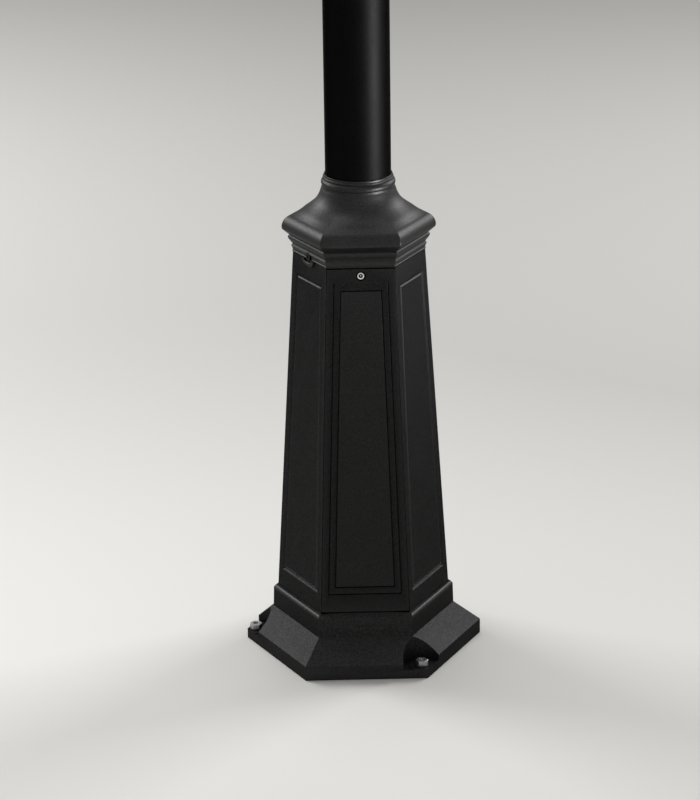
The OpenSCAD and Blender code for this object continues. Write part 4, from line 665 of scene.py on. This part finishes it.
# Studio: floor whose colour darkens to the back and to the right as painted light falloff, and the
# world, as lit and as seen
FLOOR_HALF = 40.0
FLOOR_TINT = (1, 0.99, 0.955)
FLOOR_PAINTED_LIGHT = rgba(0.73, FLOOR_TINT)
FLOOR_PAINTED_SHADE = rgba(0.415, FLOOR_TINT)
FADE_Y = (-0.5, 1.3)
FADE_X = (-0.7, 0.7)
FADE_X_SHARE = (-0.26, 0.26)
WORLD_LIGHT = rgba(0.30)
WORLD_SEEN = rgba(0.56, (1, 0.99, 0.965))
# Lamps: place, aim, size, power in watts and spread in degrees
BASE_MIDDLE = (0, 0, 0.4)
LAMPS = {
    "lamp_back_left": ((-2.6, 1.9, 1.9), BASE_MIDDLE, (1.6, 1.3), 80, 180),
    "lamp_back_right": ((2.6, 1.9, 1.9), BASE_MIDDLE, (1.6, 1.3), 82, 180),
    "lamp_front_right": ((1.5, -0.85, 0.3), (0, 0, 0.85), (0.5, 0.5), 3.2, 34),
    "lamp_top": ((-0.3, 0.9, 4.4), BASE_MIDDLE, (2.4, 2.4), 78, 180),
}


def add_floor():
    mesh = bpy.data.meshes.new("floor")
    h = FLOOR_HALF
    mesh.from_pydata([(-h, -h, 0), (h, -h, 0), (h, h, 0), (-h, h, 0)], [], [(0, 1, 2, 3)])
    floor = bpy.data.objects.new("floor", mesh)
    bpy.context.scene.collection.objects.link(floor)
    made, g = new_material("floor_paper")
    where = g.place()
    place = g.node("ShaderNodeSeparateXYZ", {"Vector": where}).outputs
    away = g.spread(place["Y"], *FADE_Y, easing="SMOOTHSTEP")
    share = g.math("ADD", away, g.spread(place["X"], *FADE_X, *FADE_X_SHARE))
    mottle = g.noise(where, 30.0, 3.0)
    # Painted light falloff: the colour is pale in front and to the left, darker behind and to the
    # right
    g.finish({
        "Base Color": g.blend(share, FLOOR_PAINTED_LIGHT, FLOOR_PAINTED_SHADE),
        "Roughness": g.spread(mottle, *NOISE_SPAN, 0.85, 0.95), "Specular IOR Level": 0.1})
    mesh.materials.append(made)


def add_world():
    world = bpy.data.worlds.new("studio")
    world.use_nodes = True
    bpy.context.scene.world = world
    g = Graph(world.node_tree)
    path = g.node("ShaderNodeLightPath").outputs
    seen = g.math("MAXIMUM", path["Is Camera Ray"], path["Is Transmission Ray"])
    seen = g.math("MAXIMUM", seen, path["Is Glossy Ray"])
    shade = g.node("ShaderNodeBackground", {
        "Color": g.blend(seen, WORLD_LIGHT, WORLD_SEEN), "Strength": 1.0})
    g.node("ShaderNodeOutputWorld", {"Surface": shade.outputs[0]})


def add_lamp(name, at, aim, size, power, spread):
    data = bpy.data.lights.new(name, "AREA")
    data.shape = "RECTANGLE"
    data.size, data.size_y = size
    data.energy = power
    data.spread = math.radians(spread)
    lamp = bpy.data.objects.new(name, data)
    bpy.context.scene.collection.objects.link(lamp)
    lamp.location = at
    lamp.visible_camera = False
    lamp.visible_transmission = False
    lamp.rotation_euler = (Vector(aim) - Vector(at)).to_track_quat("-Z", "Y").to_euler()


add_camera()
cap_parts = [loft(cap_rings(), ring_angles()), lug(LUG_TURN), lug(LUG_TURN + 180)]
cap = make_piece("cap_skin", cap_parts, "cap_coat")
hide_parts("column_cap")
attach(cap, "post")
# Edge sheets over the band and the panels' fields, coloured as a painted highlight
for name, parts in (
        ("band_edge", [band_edge()]), ("panel_edges", on_panels(EDGE_LEVELS, False))):
    highlight_piece = make_piece(name, parts, "base_casting")
    put_material(highlight_piece, PAINTED_HIGHLIGHT_COAT)
    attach(highlight_piece, "post")
fields = make_piece("panel_fields", on_panels(FIELD_LEVELS, True), "base_casting")
soften("panel_fields", fields)
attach(fields, "post")
screw_parts = [screw_lathe(SCREW_HEAD, SCREW_SHANK)]
screw = make_piece("door_screw_skin", screw_parts, SLOT_OF["door_screw"])
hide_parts("door_screw")
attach(screw, "door_screw")
# A lining in the screw's socket, coloured near-black: painted shade
socket = make_piece("door_screw_socket", [screw_lathe(SCREW_SOCKET)], SLOT_OF["door_screw"])
put_material(socket, PAINTED_SHADE_BLACK)
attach(socket, "door_screw")
for skin, name, body in (
        (shaped_base(), "base_casting", "post"), (shaped_door(), "access_door", "door")):
    soften(name, skin)
    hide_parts(name)
    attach(skin, body)
for node_name, node in sorted(NODES.items()):
    put_material(node, MATERIALS[SLOT_OF[node_name]])
    soften(node_name, node)
# The cap screws coloured near-black as painted shade in the lugs
put_material(NODES["cap_screws"], PAINTED_SHADE_BLACK)
add_floor()
add_world()
for lamp_name, settings in LAMPS.items():
    add_lamp(lamp_name, *settings)
bpy.context.scene.view_settings.view_transform = "Standard"
